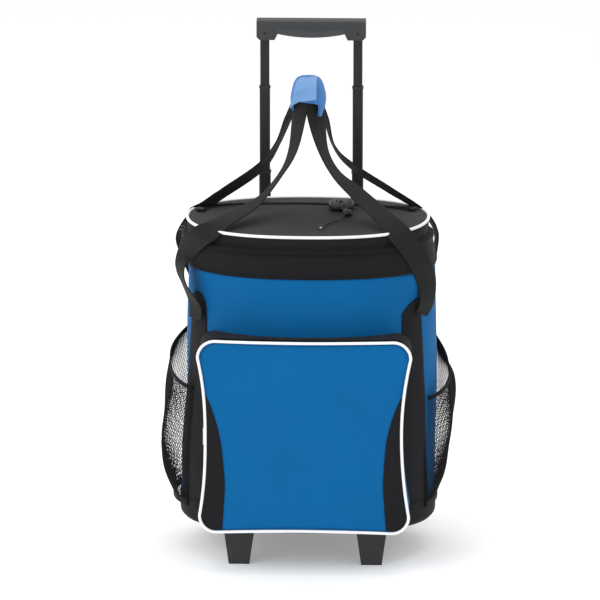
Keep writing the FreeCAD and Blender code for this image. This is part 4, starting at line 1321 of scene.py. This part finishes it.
@dataclass
class SidePockets:
    """Mesh bottle pockets: a diamond net that bellies out from the wall, bound along its slanting top."""

    form: BagForm
    finishes: Finishes
    cell: float = 0.0040
    yarn: float = 0.00095
    tall: float = 0.215         # height and girth that the cells are counted over
    girth: float = 0.235

    def surface(self, side: Side, a: Array, b: Array, lift: float = 0.0) -> Array:
        """The net: a runs from the front edge to the rear, b from the foot to the slanting top.

        The belly is the tub's surface moved out by the bulge at that height times (sine of the way
        across)^0.75.

        Args:
            side: Which pocket.
            a: Way across, 0 to 1.
            b: Way up, 0 to 1.
            lift: Extra distance outside the net.

        Returns:
            Points in space.
        """
        front, rear = self.form.way(0.157), self.form.way(0.118, front=False)
        s = front + (rear - front) * a
        foot = span("mesh_pocket_right")[0][2] - 0.010
        start = 0.221 if side is Side.RIGHT else 0.233
        top = start + (span("mesh_bindings")[1][2] + 0.003 - start) * ease(a, -0.1, 1.0)
        z = foot + (top - foot) * b
        profile = flowing(np.array(BULGE[side], float) * MM, 120)
        around, up = (np.sin(np.pi * np.clip(share, 0, 1)) for share in (a, b))
        out = 0.86 * np.interp(z, profile[:, 0], np.maximum(profile[:, 1], 0)) * around**0.75
        lively = around * up**0.5
        fold = 0.0018 * (np.sin(23 * a + 4 * b) + 0.6 * np.sin(9 * a - 13 * b + 1)) * lively
        s = s if side is Side.RIGHT else 1 - s
        return self.form.at(s, z, 0.0022 + out + fold + lift, rippled=False)

    def net(self, side: Side) -> bpy.types.Object:
        """Diamond net of real yarn: a staggered grid of knots, its cells turned to strands."""
        rows, cols = 2 * int(self.tall / self.cell) // 2 + 1, int(self.girth / self.cell)
        r, c = np.meshgrid(np.arange(rows), np.arange(cols), indexing="ij")
        a = np.clip((c + 0.5 * (r % 2)) / (cols - 0.5), 0, 1)
        points = self.surface(side, a, r / (rows - 1))
        number = r * cols + c
        odd_rows = number[1:-1:2, :-1]
        first = np.stack([number[0:-2:2, 1:], odd_rows, number[2::2, 1:], number[1:-1:2, 1:]], -1)
        second = np.stack([number[1:-2:2, :-1], number[2:-1:2, :-1], number[3::2, :-1], number[2:-1:2, 1:]],
                          -1)
        faces = np.concatenate([first.reshape(-1, 4), second.reshape(-1, 4)])
        faces = faces if side is Side.RIGHT else faces[:, ::-1]
        obj = mesh_object(f"mesh_net_{side.name.lower()}", points, faces)
        mod = obj.modifiers.new("yarn", "WIREFRAME")
        mod.thickness, mod.use_even_offset, mod.use_replace = self.yarn, False, True
        return obj

    def build(self) -> None:
        """Make both nets and their bindings."""
        edges = []
        for side in Side:
            name = side.name.lower()
            place(self.net(side), "bag", self.finishes["net_yarn"], "mesh", f"mesh_pocket_{name}")
            a = np.linspace(0, 1, 90)
            for label, height, wide in (("top", 0.985, 0.0055), ("foot", 0.012, 0.009)):
                line = self.surface(side, a, np.full(90, height), 0.0003)
                edges.append(swept(f"binding_{label}_{name}", line, flat_section(wide, 0.0022, 14), UP))
        place(joined("mesh_binding_tape", edges), "bag", self.finishes["tape_cloth"], "binding",
              "mesh_bindings")


# ---------------------------------------------------------------- straps


# Each loop's stations, from its left sewn end over the crown to its right one: place from the tub's
# middle in millimetres, then the webbing's width as its turn in plan from +X and its tilt, in degrees.
FRONT_LOOP = (
    (-150, -70, 333, -55, 0), (-151, -69.5, 351, -55, 0), (-165, -64, 378, -75, 5), (-171, -60, 400, -65, 10),
    (-164, -56, 421, -45, -15), (-146, -81, 447, -30, -35), (-129, -86, 458, -45, -35),
    (-109, -74, 470, -65, -15), (-66, -38, 490, -80, -5), (-37, -28, 523, -80, 5), (-20, -25, 557, -65, 10),
    (-12, -20, 600, -50, 10), (-10, -18, 622, -45, 0), (0, -17, 639, -90, 0), (10, -18, 622, -140, 0),
    (12, -20, 600, -140, 10), (22, -25, 556, -115, 10), (40, -28, 524, -110, 0), (68, -35, 500, -125, -10),
    (99, -62, 478, -130, -15), (128, -96, 456, -175, -25), (151, -88, 422, -185, -20),
    (162, -64, 388, -150, -10), (163, -64, 358, -130, 0), (156, -67, 341, -130, 0),
)
REAR_LOOP = (
    (-150, 69, 331, 55, 0), (-152, 69, 351, 55, 0), (-171, 66, 386, 80, 0), (-178, 63, 418, 75, -15),
    (-160, 61, 450, 80, -20), (-141, 46, 466, 75, -25), (-116, 54, 481, 75, -30), (-68, 42, 518, 80, -30),
    (-42, 30, 556, 85, -20), (-26, 20, 596, 75, -15), (-16, 18, 622, 80, 0), (0, 17, 636, 90, 0),
    (15, 18, 618, 100, 0), (23, 20, 594, 105, -10), (34, 30, 553, 95, -15), (60, 41, 521, 100, -25),
    (110, 52, 486, 100, -25), (155, 59, 455, 100, -20), (173, 62, 427, 100, -15), (172, 64, 396, 100, -10),
    (169, 66, 381, 100, 0), (153, 69, 350, 125, 0), (152, 69, 331, 125, 0),
)


@dataclass
class CarryStraps:
    """Two webbing loops that cross over the lid and meet in a padded grip wrap."""

    form: BagForm
    finishes: Finishes
    width: float = 0.030
    thick: float = 0.0022

    def laid(self, loop: tuple[tuple[float, ...], ...]) -> Array:
        """A loop's stations in metres, with each width direction as a vector.

        Args:
            loop: Stations as the tables above give them.

        Returns:
            One row a station: its place, then the unit direction of the webbing's width.
        """
        table = np.array(loop, float)
        turn, tilt = np.radians(table[:, 3:]).T
        across = np.column_stack([np.cos(turn) * np.cos(tilt), np.sin(turn) * np.cos(tilt), np.sin(tilt)])
        return np.column_stack([table[:, :3] * MM + [0, self.form.centre_y, 0], across])

    def ribbon(self, name: str, stations: Array) -> bpy.types.Object:
        """Webbing through the stations, as one smooth ribbon.

        Args:
            name: The piece's name.
            stations: One row a station, as laid() gives them.

        Returns:
            The new object.
        """
        faint = 1e-6        # the direction is carried along without adding to the running length
        course = np.column_stack([stations[:, :3], stations[:, 3:] * faint])
        curve = even(flowing(course, 900), 520)
        return swept(name, curve[:, :3], flat_section(self.width, self.thick, 20), unit(curve[:, 3:]))

    def build(self) -> None:
        """Make both loops, their stitched ends, the wrap and its flap."""
        for name, loop, node, body in (
            ("front_webbing", FRONT_LOOP, "front_strap", "front_handle"),
            ("rear_webbing", REAR_LOOP, "rear_strap", "rear_handle"),
        ):
            stations = self.laid(loop)
            obj = self.ribbon(name, stations)
            dress(obj, self.finishes["strap_webbing"], "webbing", node)
            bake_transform(obj)
        self.patches()
        self.wrap()

    def patches(self) -> None:
        """Box-and-cross stitching at the four sewn ends."""
        at, along, across = [], [], []
        square = np.array([[-1, -1], [1, -1], [1, 1], [-1, 1], [-1, -1], [1, 1], [1, -1], [-1, 1]]) * 0.011
        line = even(square, 60)
        for side in Side:
            for front in (True, False):
                centre = self.form.way(0.1495, front)
                s = centre + line[:, 0] / self.form.girth
                s = s if side is Side.RIGHT else 1 - s
                here = self.form.at(s, 0.350 + line[:, 1], 0.0052, rippled=False)
                at.append(here)
                along.append(np.gradient(here, axis=0))
                out = np.column_stack([self.form.normals(s), np.zeros(len(s))])
                across.append(np.cross(along[-1], out))
        rows = [np.concatenate(part) for part in (at, along, across)]
        obj = many_boxes("strap_stitches", *rows, (0.0018, 0.0005, 0.0006))
        place(obj, "bag", self.finishes["charcoal_cloth"], "webbing")

    def wrap(self) -> None:
        """Padded cap over the crossing and the flap that closes it at the front."""
        low, high = span("grip_wrap")
        half_d, middle = (high[1] - low[1]) / 2, (low[1] + high[1]) / 2
        profile = np.array([[606, 20.5], [614, 23], [622, 24], [629, 23.6], [635, 22.4], [641, 20.8],
                            [646, 18.8],
                            [650, 15.5], [652, 10], [652.8, 3]]) * MM
        t = np.linspace(0, 2 * np.pi, 120, endpoint=False)
        c, s = np.cos(t), np.sin(t)
        front = ease(-s, 0.1, 0.75) * ease(0.8 - c, 0.0, 0.35)
        foot = profile[0, 0] + 0.018 * front + 0.003 * np.sin(2 * t)
        share = np.linspace(0, 1, 44)[:, None]
        z = foot[None] + (profile[-1, 0] - foot[None]) * np.sin(share * np.pi / 2)
        curve = flowing(profile, 200)
        wide = np.interp(z, curve[:, 0], curve[:, 1])
        round_off = wide / profile[2, 1]
        quilt = 1 + 0.02 * np.sin(5 * t + 1.0)[None] * (1 - share)
        x = np.sign(c) * np.abs(c) ** 0.6 * wide * quilt
        y = middle + np.sign(s) * np.abs(s) ** 0.6 * half_d * (0.35 + 0.65 * round_off) * quilt
        cap = sheet_object("grip_wrap_pad", np.stack([x, y, z], -1), wrap_cols=True, flip=True)
        close_rings(cap, len(t), (len(share) - 1) * len(t), smooth=True)
        place(thicken(cap, 0.0032), "front_handle", self.finishes["wrap_cloth"], "wrap_fabric", "grip_wrap")
        self.flap(low[1], middle)

    def flap(self, front: float, middle: float) -> None:
        """Closing flap: from the crown over the front, its right edge straight, its free lower edge slanting.

        Args:
            front: Depth of the wrap's front.
            middle: Depth of its middle.
        """
        u = np.linspace(0, 1, 30)[None]
        v = np.linspace(0, 1, 40)[:, None]
        sides = np.array([[659, -9.8], [654, -15], [648, -18], [641, -20], [634, -21.5], [626, -23.5]])
        left = np.interp(v[:, 0], (659 - sides[:, 0]) / 33, sides[:, 1])[:, None] * MM
        x = left * (1 - u) + 0.0125 * u
        bottom = np.interp(u[0], [0, 0.12, 0.33, 0.67, 1], [0.618, 0.623, 0.6275, 0.629, 0.631])[None]
        crown = 0.6525 + 0.0022 * u
        over = np.clip(v / 0.4, 0, 1) * np.pi / 2
        z = crown - (crown - bottom) * (0.25 * (1 - np.cos(over)) + 0.75 * np.clip((v - 0.18) / 0.82, 0, 1))
        y = middle + (front - 0.003 - middle) * np.sin(over) - 0.005 * v**3 - 0.001 * np.sin(5 * u + 3 * v)
        obj = sheet_object("grip_wrap_flap", np.stack([x, y, z], -1), flip=True)
        place(thicken(obj, 0.0022), "front_handle", self.finishes["wrap_flap_cloth"], "wrap_fabric",
              "wrap_flap")


# ---------------------------------------------------------------- hardware


@dataclass
class Hardware:
    """CAD nodes that keep their own shape and get a better finish."""

    finishes: Finishes
    nodes: dict[str, bpy.types.Object]

    def build(self) -> None:
        """Give every kept CAD node its finish."""
        wanted = {
            "board_plastic": ["base_board"],
            "foam": ["insulation_foam", "lid_foam"],
            "liner_film": ["liner", "lid_liner"],
            "coated_tube": ["outer_tubes", "middle_tubes", "upper_tubes"],
            "black_plastic": ["trolley_brackets", "wheel_housings", "front_feet", "outer_collars",
                              "middle_collars",
                              "middle_glides", "upper_glides", "hub_left", "hub_right"],
            "grip_plastic": ["grip_casing"],
            "grip_rubber": ["grip_insert"],
            "steel": ["axles", "body_screws"],
            "tyre_rubber": ["tyre_left", "tyre_right"],
            "zip_lacquer": ["main_zip_sliders", "lid_zip_slider", "pocket_slider", "main_pull_front",
                            "main_pull_rear",
                            "grip_screws"],
            "bright_pull": ["pocket_pull"],
            "black_cloth": ["back_panel"],
        }
        for finish, names in wanted.items():
            for name in names:
                mesh = self.nodes[name].data
                mesh.materials.clear()
                mesh.materials.append(self.finishes[finish])
                LOG.info("CAD node %s keeps its shape, finish %s", name, finish)


# ---------------------------------------------------------------- studio


@dataclass
class Studio:
    """Pale floor, soft lights and a long-lens camera."""

    distance: float = 8.0
    azimuth: float = 2.0
    elevation: float = 13.5
    view_width: float = 0.819
    aim: tuple[float, float, float] = (-0.011, -0.005, 0.3426)

    def build(self) -> None:
        """Make the floor, the world, the lights and the camera."""
        self.floor()
        self.world()
        self.lamp("key", (-2.2, -2.3, 2.3), 2.4, 50.0)
        self.lamp("fill", (2.4, -2.0, 1.2), 2.6, 9.0)
        self.lamp("top", (0.0, 0.4, 3.0), 2.4, 30.0)
        self.camera()
        bpy.context.scene.view_settings.view_transform = "Standard"

    def floor(self) -> None:
        """A wide flat plane."""
        t = np.linspace(-1, 1, 2)
        x, y = np.meshgrid(t * 6, t * 6, indexing="ij")
        points = np.stack([x, y, np.zeros_like(x)], -1)
        obj = sheet_object("floor", points, flip=True)
        made, w, shader = painted("floor_white")
        white = (1.0, 1.0, 1.0, 1.0)
        w.feed(shader, {"Base Color": (0.93, 0.93, 0.93, 1.0), "Roughness": 0.9, "Emission Color": white,
                        "Emission Strength": 0.22})
        obj.data.materials.append(made)

    def world(self) -> None:
        """Even, near-white surround."""
        world = bpy.data.worlds.new("surround")
        bpy.context.scene.world = world
        world.use_nodes = True
        back = world.node_tree.nodes["Background"]
        back.inputs[0].default_value = (1.0, 1.0, 1.0, 1.0)
        w = Wiring(world.node_tree)
        seen = w.node("ShaderNodeLightPath").outputs["Is Camera Ray"]
        strength = w.maths("ADD", w.maths("MULTIPLY", seen, 0.35), 0.75)
        w.feed(back, {"Strength": strength})

    def lamp(self, name: str, at: tuple[float, float, float], size: float, power: float) -> None:
        """A square soft light aimed at the bag.

        Args:
            name: The light's name.
            at: Its place.
            size: Its side.
            power: Its power in watts.
        """
        light = bpy.data.lights.new(name, "AREA")
        light.shape, light.size, light.energy = "SQUARE", size, power
        obj = bpy.data.objects.new(name, light)
        obj.location = at
        aim = Vector(self.aim) - Vector(at)
        obj.rotation_euler = aim.to_track_quat("-Z", "Y").to_euler()
        bpy.context.scene.collection.objects.link(obj)

    def camera(self) -> None:
        """Camera on the view direction, its lens set so that the view is view_width wide at the aim point."""
        a, e = math.radians(self.azimuth), math.radians(self.elevation)
        back = Vector((math.sin(a) * math.cos(e), -math.cos(a) * math.cos(e), math.sin(e)))
        data = bpy.data.cameras.new("camera")
        data.sensor_width = 36.0
        data.lens = data.sensor_width * self.distance / self.view_width
        obj = bpy.data.objects.new("camera", data)
        obj.location = Vector(self.aim) + back * self.distance
        obj.rotation_euler = (-back).to_track_quat("-Z", "Y").to_euler()
        bpy.context.scene.collection.objects.link(obj)
        bpy.context.scene.camera = obj


# ---------------------------------------------------------------- whole bag


def bag_form() -> BagForm:
    """The tub's form, read from the frame."""
    low, high = span("outer_shell")
    rim = span("upper_band")[1][2]
    half = (high - low) / 2
    return BagForm(half[0], half[1], (high[1] + low[1]) / 2, span("base_board")[0][2], rim)


def main() -> None:
    """Build the whole bag around the frame."""
    logging.basicConfig(level=logging.INFO, format="%(message)s")
    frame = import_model()
    finishes = Finishes()
    form = bag_form()
    Studio().build()
    Tub(form, finishes).build()
    Lid(finishes).build()
    FrontPocket(form, finishes).build()
    SidePockets(form, finishes).build()
    CarryStraps(form, finishes).build()
    Hardware(finishes, frame["nodes"]).build()


if __name__ == "__main__":
    main()
